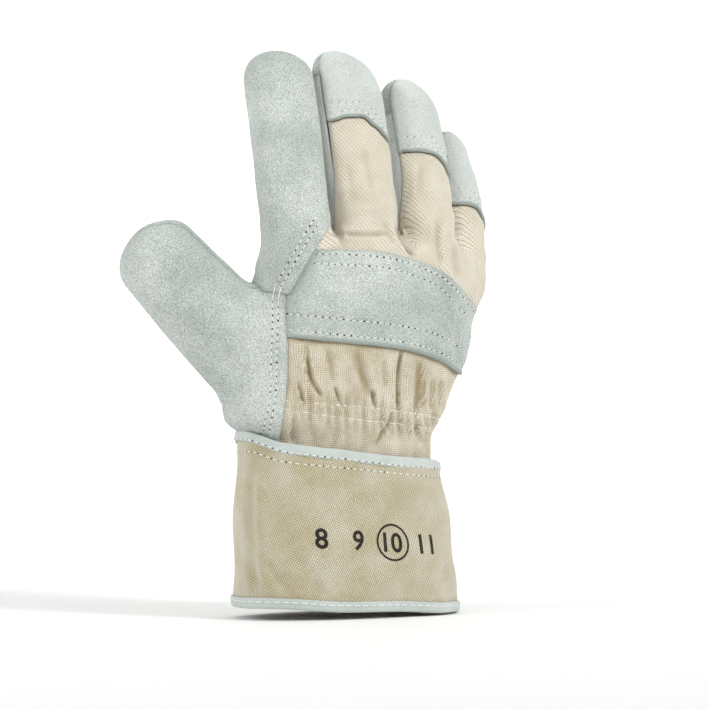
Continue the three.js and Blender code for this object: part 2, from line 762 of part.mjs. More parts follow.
// The largest connected piece of a patch, without corners that touch at a single point
function soundPatch({ points, faces }) {
  let [kept] = groupsOf(faces);
  for (;;) {
    const byPoint = new Map();
    for (const face of kept) {
      for (const n of face) byPoint.set(n, [...(byPoint.get(n) ?? []), face]);
    }
    const dropped = new Set();
    for (const [n, fan] of byPoint) {
      const spokes = fan.map((face) => edgesOf(face).filter((edge) => edge.includes(n)).flat());
      const linked = [fan[0]];
      for (let i = 0; i < linked.length; i += 1) {
        const mine = spokes[fan.indexOf(linked[i])];
        fan.forEach((face, k) => {
          if (!linked.includes(face) && spokes[k].some((m) => m !== n && mine.includes(m))) linked.push(face);
        });
      }
      if (linked.length < fan.length) {
        const loose = fan.filter((face) => !linked.includes(face));
        (loose.length < linked.length ? loose : linked).forEach((face) => dropped.add(face));
      }
    }
    if (!dropped.size) break;
    [kept] = groupsOf(kept.filter((face) => !dropped.has(face)));
  }
  const renumber = new Map();
  kept.flat().forEach((n) => renumber.set(n, renumber.get(n) ?? renumber.size));
  return {
    points: [...renumber.keys()].map((n) => points[n]),
    faces: kept.map((face) => face.map((n) => renumber.get(n))),
  };
}

// The directed outline of a patch: from each point of its edge to the next
function outlineOf(faces) {
  const directed = new Set(faces.flatMap((face) => edgesOf(face).map(([a, b]) => `${a},${b}`)));
  return faces.flatMap(edgesOf).filter(([a, b]) => !directed.has(`${b},${a}`));
}

// Draws a patch's edge in by half a seam's gap
function trim({ points, faces }) {
  const outline = outlineOf(faces);
  const inward = ([a, b]) => {
    const along = points[b].at.clone().sub(points[a].at);
    const normal = points[a].normal.clone().add(points[b].normal);
    return normal.cross(along).normalize();
  };
  const arriving = new Map(outline.map((edge) => [edge[1], inward(edge)]));
  const leaving = new Map(outline.map((edge) => [edge[0], inward(edge)]));
  const trimmed = points.map((point, n) => {
    if (!arriving.has(n)) return point;
    const [first, second] = [arriving.get(n), leaving.get(n)];
    const size = SEAM_GAP / 2 / Math.max(1 + first.dot(second), 0.5);
    return { ...point, at: point.at.clone().addScaledVector(first.clone().add(second), size) };
  });
  return { points: trimmed, faces };
}

// Draws the cotton in along its folds and along the elastic row, and leaves its sewn edges flat
function gather({ points, faces }) {
  const drawn = points.map((point) => {
    const across = acrossMarking(point.at);
    const { back, index, thumb, lowerLap } = point.fields;
    const free = smoothstep(-Math.max(back, -index, -thumb, lowerLap), 1, 7);
    const fromRow = sideOf(ELASTIC_ROW, across, point.at.z);
    const wave = 0.5 + 0.5 * Math.cos((2 * Math.PI * across) / PUCKER.pitch);
    const pucker = PUCKER.deep * wave * Math.exp(-((fromRow / PUCKER.spread) ** 2));
    const depth = free * (grooves(FOLDS, across, point.at.z) + pucker);
    return { ...point, at: point.at.clone().addScaledVector(point.normal, -depth) };
  });
  return { points: drawn, faces };
}

// A closed wall on a patch, from outer to inner along its points' outward directions
function thicken({ points, faces }, outer, inner) {
  const count = points.length;
  const position = [];
  for (const offset of [outer, inner]) {
    for (const { at, normal } of points) {
      position.push(...at.clone().addScaledVector(normal.clone().normalize(), offset));
    }
  }
  const index = [];
  for (const [a, b, c] of faces) index.push(a, b, c, a + count, c + count, b + count);
  for (const [a, b] of outlineOf(faces)) index.push(b, a, a + count, b, a + count, b + count);
  return solidGeometry(position, index);
}

function solidGeometry(position, index) {
  const geometry = new THREE.BufferGeometry();
  geometry.setAttribute("position", new THREE.Float32BufferAttribute(position, 3));
  geometry.setIndex(index);
  geometry.computeVertexNormals();
  return geometry;
}

function panelGeometry(surface, { inside, outer, inner, folded }) {
  const patch = trim(soundPatch(patchOf(surface, inside)));
  return thicken(folded ? gather(refine(patch)) : patch, outer, inner);
}

// A point on the cuff: the angle round the wrist, the height above the hem as a share of the
// cuff's height, and the distance outwards from its outer face
function cuffPoint(angle, share, out) {
  const level = share * TOP_EDGE.z;
  const half = column(CUFF, "half", level);
  const deep = column(CUFF, "deep", level);
  const [c, s] = [Math.cos(angle), Math.sin(angle)];
  const round = (value) => Math.sign(value) * Math.abs(value) ** (2 / CUFF_POWER);
  const [x, y] = [half * round(c), deep * round(s)];
  const steep = (value) => Math.sign(value) * Math.abs(value) ** (2 - 2 / CUFF_POWER);
  const outward = new THREE.Vector2(steep(c) / half, steep(s) / deep).normalize();
  const ripple = CUFF_RIPPLE * (Math.cos(3 * angle + 1.1) + 0.6 * Math.cos(7 * angle)) * (1 - share);
  const place = new THREE.Vector2(x + column(CUFF, "x", level), y).addScaledVector(outward, out + ripple);
  const hem = HEM_EDGE.z + HEM_EDGE.perX * place.x;
  const top = TOP_EDGE.z + TOP_EDGE.perX * place.x;
  return [place.x, place.y, lerp(hem, top, share)];
}

// A closed ring round the wrist from its cross-section: corners of height and offset, up the
// outside and down the inside
function ring(corners) {
  const position = [];
  const index = [];
  const count = corners.length;
  for (let i = 0; i < CUFF_SIDES; i += 1) {
    const next = (i + 1) % CUFF_SIDES;
    corners.forEach(([rise, out], j) => {
      position.push(...cuffPoint((2 * Math.PI * i) / CUFF_SIDES, rise / TOP_EDGE.z, out));
      const above = (j + 1) % count;
      const [a, b, c, d] = [i * count + j, next * count + j, next * count + above, i * count + above];
      index.push(a, b, c, a, c, d);
    });
  }
  return solidGeometry(position, index);
}

// The canvas tube of the cuff, its edges inside the bindings
function cuffGeometry() {
  const edge = TAPE_WALL + LAYER_GAP;
  const rises = [edge, 14, 30, 46, 62, TOP_EDGE.z - edge];
  const outside = rises.map((rise) => [rise, 0]);
  const inside = rises.map((rise) => [rise, -CANVAS_WALL]).reverse();
  return ring([...outside, ...inside]);
}

// A tape folded over one edge of the cuff: edge is its fold's height, and turn is 1 where the tape
// reaches up from it and -1 where it reaches down
function bindingGeometry(edge, turn) {
  const face = LAYER_GAP + TAPE_WALL;
  const lip = edge + turn * BINDING_HEIGHT;
  const throat = edge + turn * TAPE_WALL;
  const section = [
    [edge, face],
    [lip, face],
    [lip, LAYER_GAP],
    [throat, LAYER_GAP],
    [throat, -CANVAS_WALL - LAYER_GAP],
    [lip, -CANVAS_WALL - LAYER_GAP],
    [lip, -CANVAS_WALL - face],
    [edge, -CANVAS_WALL - face],
  ];
  return ring(turn > 0 ? section : section.reverse());
}

const glove = new THREE.Group();

function addPiece(name, geometry, finish) {
  const mesh = new THREE.Mesh(geometry, new THREE.MeshStandardMaterial(finish));
  mesh.name = name;
  glove.add(mesh);
}

const surface = SEAMS.reduce(cutAlong, handSurface());
for (const panel of PANELS) {
  addPiece(panel.name, panelGeometry(surface, panel), panel.finish);
}
addPiece("cuff", cuffGeometry(), CANVAS);
addPiece("cuff_top_binding", bindingGeometry(TOP_EDGE.z, -1), TAPE);
addPiece("cuff_hem_binding", bindingGeometry(0, 1), TAPE);

export default glove;
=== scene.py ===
# %% [markdown]
# # A leather work glove, dressed over its CAD frame
#
# The glove is cut and sewn from flat goods: split leather for the palm, thumb and first finger,
# cotton drill for the back, stiff canvas for the cuff and tape round the cuff's two edges. The
# frame holds one closed solid for each piece. Here each piece gets its own dense mesh, with soft
# folds, rolled seams and stitches, and a material worked out from what the real goods are.

# %% Load the frame
import math
from functools import reduce

import bpy
import numpy as np
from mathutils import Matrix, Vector, kdtree


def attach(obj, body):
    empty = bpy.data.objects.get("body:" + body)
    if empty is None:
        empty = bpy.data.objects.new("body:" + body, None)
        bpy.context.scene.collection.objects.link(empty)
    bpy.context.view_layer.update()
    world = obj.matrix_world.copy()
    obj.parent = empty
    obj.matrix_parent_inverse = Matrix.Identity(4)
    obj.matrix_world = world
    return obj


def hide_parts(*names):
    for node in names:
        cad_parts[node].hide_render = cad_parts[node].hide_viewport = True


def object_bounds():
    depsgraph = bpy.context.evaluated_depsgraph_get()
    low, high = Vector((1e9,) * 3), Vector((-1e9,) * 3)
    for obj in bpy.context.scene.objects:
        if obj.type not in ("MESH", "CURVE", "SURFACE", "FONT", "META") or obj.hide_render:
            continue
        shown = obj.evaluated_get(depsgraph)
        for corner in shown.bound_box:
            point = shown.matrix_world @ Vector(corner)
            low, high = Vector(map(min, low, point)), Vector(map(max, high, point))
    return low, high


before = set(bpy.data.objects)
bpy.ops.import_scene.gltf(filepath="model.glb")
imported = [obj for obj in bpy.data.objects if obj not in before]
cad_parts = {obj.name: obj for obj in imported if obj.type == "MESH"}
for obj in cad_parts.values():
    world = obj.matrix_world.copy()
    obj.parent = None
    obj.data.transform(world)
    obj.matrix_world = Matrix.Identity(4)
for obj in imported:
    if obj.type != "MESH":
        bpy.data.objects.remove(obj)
frame_low, frame_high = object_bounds()
frame_size = [round(1000 * (b - a)) for a, b in zip(frame_low, frame_high)]
print("frame:", len(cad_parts), "nodes,", frame_size, "mm")

# %% [markdown]
# ## Sums on points
#
# Every shape here is reckoned for many points at once. These short functions name what the sums
# have in common: directions of length 1, soft steps and hills, the smallest or largest of several
# distances, and the way walked along a line.

# %% Sums on points
MM = 0.001


def lengths(vectors):
    return np.linalg.norm(vectors, axis=-1)


def unit(vectors):
    """The same directions with a length of 1."""
    return vectors / np.maximum(lengths(vectors), 1e-9)[..., None]


def smoothstep(x, low, high):
    """A soft step from 0 at low to 1 at high."""
    t = np.clip((x - low) / (high - low), 0, 1)
    return t * t * (3 - 2 * t)


def hill(x, width, power=2):
    """1 where x is 0, falling to nothing beyond the width."""
    return np.exp(-((x / width) ** power))


def above(x, start=0):
    return np.maximum(x - start, 0)


def least(*values):
    return reduce(np.minimum, values)


def most(*values):
    return reduce(np.maximum, values)


def walked_along(line):
    """The way walked from a line's first point to each of its points."""
    return np.concatenate([[0], np.cumsum(lengths(np.diff(line, axis=0)))])


def summed(index, rows, count):
    """Rows of numbers, added up by index."""
    return np.stack([np.bincount(index, values, count) for values in rows.T], 1)


def zero_between(a, b, crossed):
    """The share of the way from value a to value b where 0 lies, for those that cross it."""
    return np.where(crossed, a / np.where(crossed, a - b, 1), 0)


print("along a soft step:", smoothstep(np.linspace(0, 1, 5), 0, 1))

# %% [markdown]
# ## The camera
#
# The glove is seen from 28 degrees towards its thumb side, level with its middle, from far enough
# away that its lines hardly converge. The lens follows from the width of the view: 339 mm across
# at 1.7 m. A real photographer would use a long lens in the same way, so that the fingers keep
# their proportions.

# %% Camera
VIEW_TURN = math.radians(28)
VIEW_DISTANCE = 1.7
VIEW_PIXELS, PIXELS_PER_MM = 709, 2.09
VIEW_WIDTH = VIEW_PIXELS / PIXELS_PER_MM * MM
EYE_ACROSS, EYE_HEIGHT = 4.07 * MM, 122.7 * MM

camera = bpy.data.objects.new("camera", bpy.data.cameras.new("camera"))
bpy.context.scene.collection.objects.link(camera)
toward_camera = Vector((-math.sin(VIEW_TURN), -math.cos(VIEW_TURN), 0))
eye = Vector((EYE_ACROSS * math.cos(VIEW_TURN), -EYE_ACROSS * math.sin(VIEW_TURN), EYE_HEIGHT))
camera.location = eye + VIEW_DISTANCE * toward_camera
camera.rotation_euler = (-toward_camera).to_track_quat("-Z", "Y").to_euler()
camera.data.lens = camera.data.sensor_width * VIEW_DISTANCE / VIEW_WIDTH
bpy.context.scene.camera = camera
print("lens:", round(camera.data.lens), "mm")

# %% [markdown]
# ## Floor and light
#
# A wide dish of white paper, flat under the glove and rising all round it, gives a floor without a
# horizon from any side. The glove stands as in a photographer's tent: white all round, with three
# large soft lamps far off, one at its left, one before it on the left and one on the right. So its
# edges are a little brighter than its middle, and every fold that runs up and down shows.

# %% Floor and light
DISH = [(1.4, 0.0), (2.3, 0.0), (2.6, 0.04), (2.85, 0.17), (3.02, 0.42), (3.1, 0.8), (3.12, 1.5)]
DISH_SIDES = 72
FLOOR_Z = -1.9 * MM
ROOM_STRENGTH = 0.71
SCREENS = {
    "left_screen": {"from": (-0.99, -0.12, 0.5), "strength": 1.05, "softness": 14},
    "middle_screen": {"from": (-0.8, -0.62, 0.35), "strength": 1.2, "softness": 22},
    "right_screen": {"from": (0.53, -0.85, 0.55), "strength": 1.7, "softness": 14},
}


def mesh_object(name, points, faces, smooth=True):
    """A mesh object from points in metres."""
    mesh = bpy.data.meshes.new(name)
    mesh.from_pydata([tuple(p) for p in points], [], [tuple(int(i) for i in f) for f in faces])
    mesh.polygons.foreach_set("use_smooth", [smooth] * len(mesh.polygons))
    mesh.update()
    piece = bpy.data.objects.new(name, mesh)
    bpy.context.scene.collection.objects.link(piece)
    return piece


def skin(rings, around, closed=False):
    """Four-sided faces over stacked rings of points, and back to the first ring if closed."""
    i, j = np.meshgrid(np.arange(rings if closed else rings - 1), np.arange(around), indexing="ij")
    here, there, after = i * around, (i + 1) % rings * around, (j + 1) % around
    return np.stack([here + j, here + after, there + after, there + j], -1).reshape(-1, 4)


turns = [2 * math.pi * i / DISH_SIDES for i in range(DISH_SIDES)]
dish = [(reach * math.cos(t), reach * math.sin(t), FLOOR_Z + rise)
        for reach, rise in DISH for t in turns]
floor = mesh_object("floor", dish, [range(DISH_SIDES), *skin(len(DISH), DISH_SIDES)[:, ::-1]])

world = bpy.data.worlds.new("room")
bpy.context.scene.world = world
world.use_nodes = True
world.node_tree.nodes["Background"].inputs["Color"].default_value = (1, 1, 1, 1)
world.node_tree.nodes["Background"].inputs["Strength"].default_value = ROOM_STRENGTH
bpy.context.scene.view_settings.view_transform = "Standard"
for name, row in SCREENS.items():
    screen = bpy.data.objects.new(name, bpy.data.lights.new(name, "SUN"))
    screen.data.energy, screen.data.angle = row["strength"], math.radians(row["softness"])
    screen.rotation_euler = Vector(row["from"]).to_track_quat("Z", "Y").to_euler()
    bpy.context.scene.collection.objects.link(screen)
print("floor radius:", DISH[-1][0], "m, lights:", ", ".join(SCREENS))

# %% [markdown]
# ## Colours and nodes
#
# Colours are written as they are read off a screen, in sRGB, and one function turns them into the
# linear values that light is reckoned in. One more adds a node: each of its inputs takes a value,
# or the output of another node. On a mix node, input 0 is the share, 2 and 3 are the two numbers
# that it mixes, 6 and 7 the two colours, and a mixed colour comes out at output 2.

# %% Colour and node helpers
def colour(code):
    """Linear colour from an sRGB hex code."""
    values = [int(code[i:i + 2], 16) / 255 for i in (1, 3, 5)]
    return (*[v / 12.92 if v < 0.04045 else ((v + 0.055) / 1.055) ** 2.4 for v in values], 1.0)


def fill(tree, made, inputs):
    """Gives a node's inputs their values and links."""
    for key, value in inputs.items():
        if isinstance(value, bpy.types.NodeSocket):
            tree.links.new(value, made.inputs[key])
        else:
            made.inputs[key].default_value = value
    return made


def node(tree, kind, inputs, out=0, **settings):
    """Adds a node with its settings, values and links, and gives one of its outputs."""
    made = tree.nodes.new("ShaderNode" + kind)
    for key, value in settings.items():
        setattr(made, key, value)
    return fill(tree, made, inputs).outputs[out]


def new_material(name):
    """An empty material, its node tree and the place on the object that its patterns start from."""
    material = bpy.data.materials.new(name)
    material.use_nodes = True
    return material, material.node_tree, node(material.node_tree, "TexCoord", {}, "Object")


BLEND = {"out": 2, "data_type": "RGBA"}
paper, tree, place = new_material("white_paper")
fleck = node(tree, "TexNoise", {"Vector": place, "Scale": 1 / (25 * MM), "Detail": 2})
sheet = node(tree, "Mix", {0: fleck, 6: colour("#F8F8F7"), 7: colour("#FBFBFB")}, **BLEND)
fill(tree, tree.nodes["Principled BSDF"], {"Base Color": sheet, "Roughness": 0.9})
floor.data.materials.append(paper)
print("paper:", paper.name)

# %% [markdown]
# ## Split leather
#
# The lower layer of a cowhide, split off and sueded on both faces, chrome tanned to a pale
# grey-green. It is matt: short fibres stand up everywhere, catch light at a grazing angle and
# cluster into a grain of about a millimetre. It is drawn darker along its seams and folded lips,
# and with painted shade where the strap dips under the wing. A noise of 33 mm gives the cloudy
# tone of a hide, one of 0.5 mm the grain, and one of 0.4 mm the fibres, drawn about twice as
# coarse as real so that they show. Three tones are used: the main one, a paler one for the
# fingertips, and between the fingers a much paler one, which is painted light: it makes up for
# the light that hardly reaches in there.

# %% Split leather
def with_seams_and_painted_shade(tree, base, seam):
    """A colour that turns into the darker one where marked: at seams and lips, and as painted shade."""
    marked = node(tree, "Attribute", {}, "Fac", attribute_name="seam_dark_and_painted_shade")
    return node(tree, "Mix", {0: marked, 6: base, 7: colour(seam)}, **BLEND)


def split_leather(name, pale, deep, contrast):
    """A suede of two tones and a grain of the given contrast, darker at seams, lips and painted shade.
    """
    material, tree, place = new_material(name)
    cloud = node(tree, "TexNoise", {
        "Vector": place, "Scale": 1 / (33 * MM), "Detail": 3, "Roughness": 0.55})
    tone = node(tree, "MapRange", {"Value": cloud, "From Min": 0.36, "From Max": 0.66})
    hide = node(tree, "Mix", {0: tone, 6: colour(deep), 7: colour(pale)}, **BLEND)
    grain = node(tree, "TexNoise", {
        "Vector": place, "Scale": 1 / (0.5 * MM), "Detail": 3, "Roughness": 0.6})
    tufts = node(tree, "MapRange", {"Value": grain, "From Min": 0.38, "From Max": 0.62,
                                    "To Min": 1 - contrast, "To Max": 1 + 0.55 * contrast})
    speckled = node(tree, "Mix", {0: 1.0, 6: hide, 7: tufts}, blend_type="MULTIPLY", **BLEND)
    fibres = node(tree, "TexNoise", {
        "Vector": place, "Scale": 1 / (0.4 * MM), "Detail": 2, "Roughness": 0.6})
    coarse = node(tree, "Bump", {"Height": grain, "Strength": 1.0, "Distance": 0.8 * MM})
    nap = node(tree, "Bump", {
        "Height": fibres, "Strength": 0.6, "Distance": 0.3 * MM, "Normal": coarse})
    # Marked places turn dark grey-green: seams, lips, and painted shade on the strap where it dips
    # under the wing.
    fill(tree, tree.nodes["Principled BSDF"], {
        "Base Color": with_seams_and_painted_shade(tree, speckled, "#8A968F"), "Normal": nap, "Roughness": 0.95,
        "IOR": 1.45, "Specular IOR Level": 0.25,
        "Sheen Weight": 0.35, "Sheen Roughness": 0.5, "Sheen Tint": colour("#F1F4F2"),
    })
    return material


leather = split_leather("split_leather_sueded", "#D3DAD3", "#B4BDB6", 0.44)
fingertip_leather = split_leather("split_leather_sueded_pale", "#DCE1DC", "#CCD2CD", 0.22)
# Between the fingers the hide is drawn much paler: painted light for the light that hardly reaches in
# there.
strip_leather_painted_light = split_leather("split_leather_sueded_painted_light", "#F2F5F1", "#DDE3DE", 0.3)
print("leathers:", leather.name, fingertip_leather.name, strip_leather_painted_light.name)

# %% [markdown]
# ## Woven cotton
#
# Drill is a twill: each warp yarn passes over two weft yarns and under one, and every next yarn
# starts one step higher, which draws the fabric's diagonal lines. In plain weave the yarns go over
# and under one by one, so each crossing shows as a small bump. Both are counted out here with whole
# numbers: the yarn's number across plus its number along, divided by the repeat, leaves what lies
# on top. Real yarns lie about 0.5 mm apart. The drill's are drawn at 0.72 mm, which makes a twill
# line 1.5 mm wide, and the plain weave's at 0.95 mm, so that both show from a camera's distance.
# The coordinates come from the piece laid flat, as it was cut.

# %% Woven cotton
def woven(name, pale, deep, pitch, repeat, strength, gap, turn=0, sheen=0.35):
    """A cotton cloth: pitch in mm, repeat 2 for plain weave and 3 for a twill, turn in degrees."""
    material, tree, place = new_material(name)
    flat = node(tree, "UVMap", {}, uv_map="cut")
    turned = {"Vector": flat, "Rotation": (0, 0, math.radians(turn))}
    thread_count = node(tree, "Mapping", {**turned, "Scale": (1 / pitch,) * 3})
    wobble = node(tree, "TexNoise", {"Vector": place, "Scale": 1 / (9 * MM), "Detail": 2}, "Color")
    shaken = node(tree, "VectorMath", {0: wobble, 1: (1.8, 1.8, 0), 2: thread_count},
                  operation="MULTIPLY_ADD")
    yarn = node(tree, "VectorMath", {0: shaken}, operation="FLOOR")
    within = node(tree, "VectorMath", {0: shaken}, operation="FRACTION")
    numbers = node(tree, "VectorMath", {0: yarn, 1: (1, 1, 0)}, "Value", operation="DOT_PRODUCT")
    order = node(tree, "Math", {0: numbers, 1: float(repeat)}, operation="FLOORED_MODULO")
    warp_up = node(tree, "Math", {0: order, 1: repeat - 1.5}, operation="LESS_THAN")
    half_turn = node(tree, "VectorMath", {0: within, "Scale": math.pi}, operation="SCALE")
    rounded = node(tree, "VectorMath", {0: half_turn}, operation="SINE")
    ridge = node(tree, "SeparateXYZ", {0: rounded})
    crown = node(tree, "Math", {0: ridge, 1: ridge.node.outputs[1]}, operation="MULTIPLY")
    warp, weft = crown, (0.8, 0.0)
    if repeat == 3:
        warp = node(tree, "Math", {0: ridge, 1: 0.4, 2: 0.6}, operation="MULTIPLY_ADD")
        weft = (-0.95, 1.0)
    under = node(tree, "Math", {0: crown, 1: weft[0], 2: weft[1]}, operation="MULTIPLY_ADD")
    top = node(tree, "Mix", {0: warp_up, 2: under, 3: warp}, data_type="FLOAT")
    streak = node(tree, "Mapping", {**turned, "Scale": (1.2, 0.4, 1)})
    slub = node(tree, "TexNoise", {"Vector": streak, "Scale": 1, "Detail": 2})
    cloud = node(tree, "TexNoise", {
        "Vector": place, "Scale": 1 / (15 * MM), "Detail": 4, "Roughness": 0.6})
    tone = node(tree, "Math", {0: slub, 1: 0.4, 2: cloud}, operation="MULTIPLY_ADD")
    mix = node(tree, "MapRange", {"Value": tone, "From Min": 0.52, "From Max": 0.88})
    cloth = node(tree, "Mix", {0: mix, 6: colour(deep), 7: colour(pale)}, **BLEND)
    gaps = node(tree, "MapRange", {
        "Value": top, "From Min": 0.1, "From Max": 0.9, "To Min": gap, "To Max": 1.05})
    shaded = node(tree, "Mix", {0: 1.0, 6: cloth, 7: gaps}, blend_type="MULTIPLY", **BLEND)
    relief = node(tree, "Bump", {"Height": top, "Strength": strength, "Distance": 0.35 * MM})
    # Marked places turn deep brown: seam lines, and painted shade in the folds, puckers and gathers and
    # below the strap.
    fill(tree, tree.nodes["Principled BSDF"], {
        "Base Color": with_seams_and_painted_shade(tree, shaded, "#8C7A50"), "Normal": relief, "Roughness": 0.9,
        "IOR": 1.5, "Specular IOR Level": 0.25, "Sheen Weight": sheen, "Sheen Tint": colour("#FBF8F0"),
    })
    return material


drill = woven("cotton_drill_twill", "#DED6C5", "#CFC6B1", 0.72, 3,
              strength=1.0, gap=0.45, turn=8, sheen=0.8)
plain = woven("cotton_plain_weave", "#E9E1CE", "#CABEA2", 0.96, 2,
              strength=0.5, gap=0.55, turn=7, sheen=0.5)
canvas = woven("cuff_canvas_plain_weave", "#EBE3CC", "#D5C9A0", 0.94, 2,
               strength=0.7, gap=0.38, turn=28, sheen=1.0)
tape = woven("binding_tape_woven", "#C0C7C4", "#B2BAB6", 0.5, 3, strength=0.3, gap=0.75)
ink = woven("stamping_ink_on_canvas", "#443D34", "#2C271F", 0.94, 2,
            strength=0.6, gap=0.5, turn=28, sheen=0.05)
print("cloths:", drill.name, plain.name, canvas.name, tape.name, ink.name)

# %% [markdown]
# ## The hand's form
#
# The palm, back and digits are given as one distance: how far a point lies outside the glove's
# skin, in millimetres. The palm is a tube whose section changes with height, each digit is a
# rounded tube of its own, and a fillet joins them where the leather would bridge the corner. The
# sizes are those of the CAD frame, so that the dressed glove lies where the frame is. Everything
# up to the meshes themselves is reckoned in millimetres.

# %% Sizes of the hand
# Sections of the palm by height: their middle, half width, half depth and how far the sides arch.
HAND = {
    "z": [50, 76, 83, 90, 95, 101, 110, 125, 148, 168, 192],
    "x": [-3.4, -3.4, -3.4, -6.6, -5.5, -2.9, 2.6, 9.5, 14.2, 16.8, 18.4],
    "y": [0, 0, 0, 0, 0, 0.5, 1, 1, 1, 1, 2],
    "half": [47.2, 47.2, 47.6, 54.4, 56.2, 56.4, 56, 56, 57.6, 57.8, 57],
    "deep": [22.4, 22.4, 22.3, 25.2, 26.2, 26.8, 27, 26.5, 23.5, 19.5, 15.5],
    "arch": [0, 0, 0, 0, 0, 1, 2, 4, 7, 9, 11],
}
# Half widths and half depths of a digit stand for its root, its middle and its tip.
DIGITS = {
    "index": {"base": (-24.5, 1, 168), "tip": (-27.2, 18, 253), "bow": -2, "roll": -20, "skew": 0.06,
              "half": (16.8, 16.8, 16.4), "deep": (14, 13.5, 12.5), "dome": 15.5, "root": 22},
    "middle": {"base": (10.3, -3, 168), "tip": (7.45, 13.7, 252.5), "bow": -2, "roll": -6, "skew": 0.42,
               "half": (16.3, 16.3, 15.9), "deep": (13.5, 13, 12), "dome": 15.5, "root": 22},
    "ring": {"base": (43.8, 0, 166), "tip": (44.2, 17, 236.5), "bow": -2, "roll": 10, "skew": 0.35,
             "half": (15.4, 15.2, 15), "deep": (13.5, 12.5, 12), "dome": 20, "root": 22},
    "little": {"base": (67.2, 9, 166), "tip": (72.4, 28, 213), "bow": -2, "roll": 30, "skew": 0.35,
               "half": (12.6, 12.8, 12), "deep": (12.5, 12, 11), "dome": 20, "root": 22},
    "thumb": {"base": (-30.5, 4, 103), "tip": (-86.6, 22, 166.4), "bow": 0, "roll": -20, "skew": 0,
              "half": (22.5, 23, 20.8), "deep": (17, 15, 12.5), "dome": 18.5, "root": 34},
}
FINGERS = ("index", "middle", "ring", "little")
# The higher its power, the squarer a section; a web is the reach of a fillet, in mm.
HAND_POWER, DIGIT_POWER = 2.4, 2.3
KNUCKLE_Z, KNUCKLE_DOME = 164, 14
FINGER_WEB, THUMB_WEB = 10, 11
print("digits:", ", ".join(DIGITS))

# %% Distance to the palm and to a digit
def column(table, key, z):
    """One column of a table at height z, on a smooth curve through its rows."""
    height, row = np.array(table["z"], float), np.array(table[key], float)
    ends = np.diff(row) / np.diff(height)
    slope = np.array([ends[0], *((row[2:] - row[:-2]) / (height[2:] - height[:-2])), ends[-1]])
    z = np.clip(z, height[0], height[-1])
    i = np.clip(np.searchsorted(height, z, side="right") - 1, 0, len(row) - 2)
    span = height[i + 1] - height[i]
    t = (z - height[i]) / span
    ease = t * t * (3 - 2 * t)
    bend = t * (1 - t) * span * ((1 - t) * slope[i] - t * slope[i + 1])
    return row[i] * (1 - ease) + row[i + 1] * ease + bend


def tube_distance(place, rounding=2.2):
    """About the distance to a tube that is rounded off over its dome where past is above 0."""
    half, deep, dome, power = (place[key] for key in ("half", "deep", "dome", "power"))
    x, y = np.abs(place["u"]) / half, np.abs(place["v"]) / deep
    ring = np.maximum((x ** power + y ** power) ** (1 / power), 1e-3)
    ring_slope = ring ** (1 - power) * np.hypot(x ** (power - 1) / half, y ** (power - 1) / deep)
    end = above(place["past"]) / dome
    level = np.maximum((ring ** rounding + end ** rounding) ** (1 / rounding), 1e-3)
    slope = np.hypot(ring ** (rounding - 1) * ring_slope, end ** (rounding - 1) / dome)
    return (level - 1) / np.maximum(level ** (1 - rounding) * slope, 1e-4)


def hand_place(p):
    """Where points lie in the palm's section at their height."""
    z = p[..., 2]
    half = column(HAND, "half", z)
    u = p[..., 0] - column(HAND, "x", z)
    v = p[..., 1] - column(HAND, "y", z) - column(HAND, "arch", z) * (u / half) ** 2
    return {"u": u, "v": v, "half": half, "deep": column(HAND, "deep", z), "past": z - KNUCKLE_Z,
            "dome": KNUCKLE_DOME, "power": HAND_POWER}


for digit in DIGITS.values():
    digit["base"], digit["tip"] = np.array(digit["base"], float), np.array(digit["tip"], float)
    digit["length"] = lengths(digit["tip"] - digit["base"])
    digit["axis"] = (digit["tip"] - digit["base"]) / digit["length"]
    roll = math.radians(digit["roll"])
    flat = np.array([math.cos(roll), math.sin(roll), 0])
    digit["across"] = unit(flat - (flat @ digit["axis"]) * digit["axis"])
    digit["palmward"] = np.cross(digit["axis"], digit["across"])


def digit_place(p, digit):
    """Where points lie along, across and through a digit."""
    from_base = p - digit["base"]
    s, u = from_base @ digit["axis"], from_base @ digit["across"]
    t = np.clip(s / digit["length"], 0, 1)
    mix = (1 - t) * (1 - 2 * t), 4 * t * (1 - t), t * (2 * t - 1)
    half, deep = (sum(size * weight for size, weight in zip(digit[key], mix))
                  for key in ("half", "deep"))
    v = from_base @ digit["palmward"] - digit["bow"] * 4 * t * (1 - t)
    past_tip, past_root = s - digit["length"] + digit["skew"] * u, -s * digit["dome"] / digit["root"]
    return {"s": s, "u": u, "v": v, "half": half, "deep": deep, "dome": digit["dome"],
            "past": np.where(s > 0, past_tip, past_root), "power": DIGIT_POWER}


def places(p):
    """Where points lie in the palm and in each digit, and their distances to them."""
    place = {name: digit_place(p, digit) for name, digit in DIGITS.items()}
    place["hand"] = hand_place(p)
    return place, {name: tube_distance(row) for name, row in place.items()}


def webbed(a, b, reach):
    """The smaller of two distances, with a fillet where they meet."""
    h = np.maximum(reach - np.abs(a - b), 0) / reach
    return np.minimum(a, b) - h * h * reach / 4


def hand_form(p):
    """About the distance from points to the outside of the glove's hand, negative inside."""
    gap = places(p)[1]
    palm = webbed(gap["hand"], gap["thumb"], THUMB_WEB)
    return webbed(palm, least(*(gap[name] for name in FINGERS)), FINGER_WEB)


def slope_of(p, reach=0.05):
    steps = reach * np.eye(3)
    return np.stack([(hand_form(p + step) - hand_form(p - step)) / (2 * reach) for step in steps], -1)


FARTHEST_MOVE = 3


def settle(p, rounds):
    """Moves points onto the hand's surface."""
    for _ in range(rounds):
        slope = slope_of(p)
        move = -hand_form(p) / np.maximum((slope * slope).sum(-1), 0.04)
        p = p + slope * np.clip(move, -FARTHEST_MOVE, FARTHEST_MOVE)[:, None]
    return p


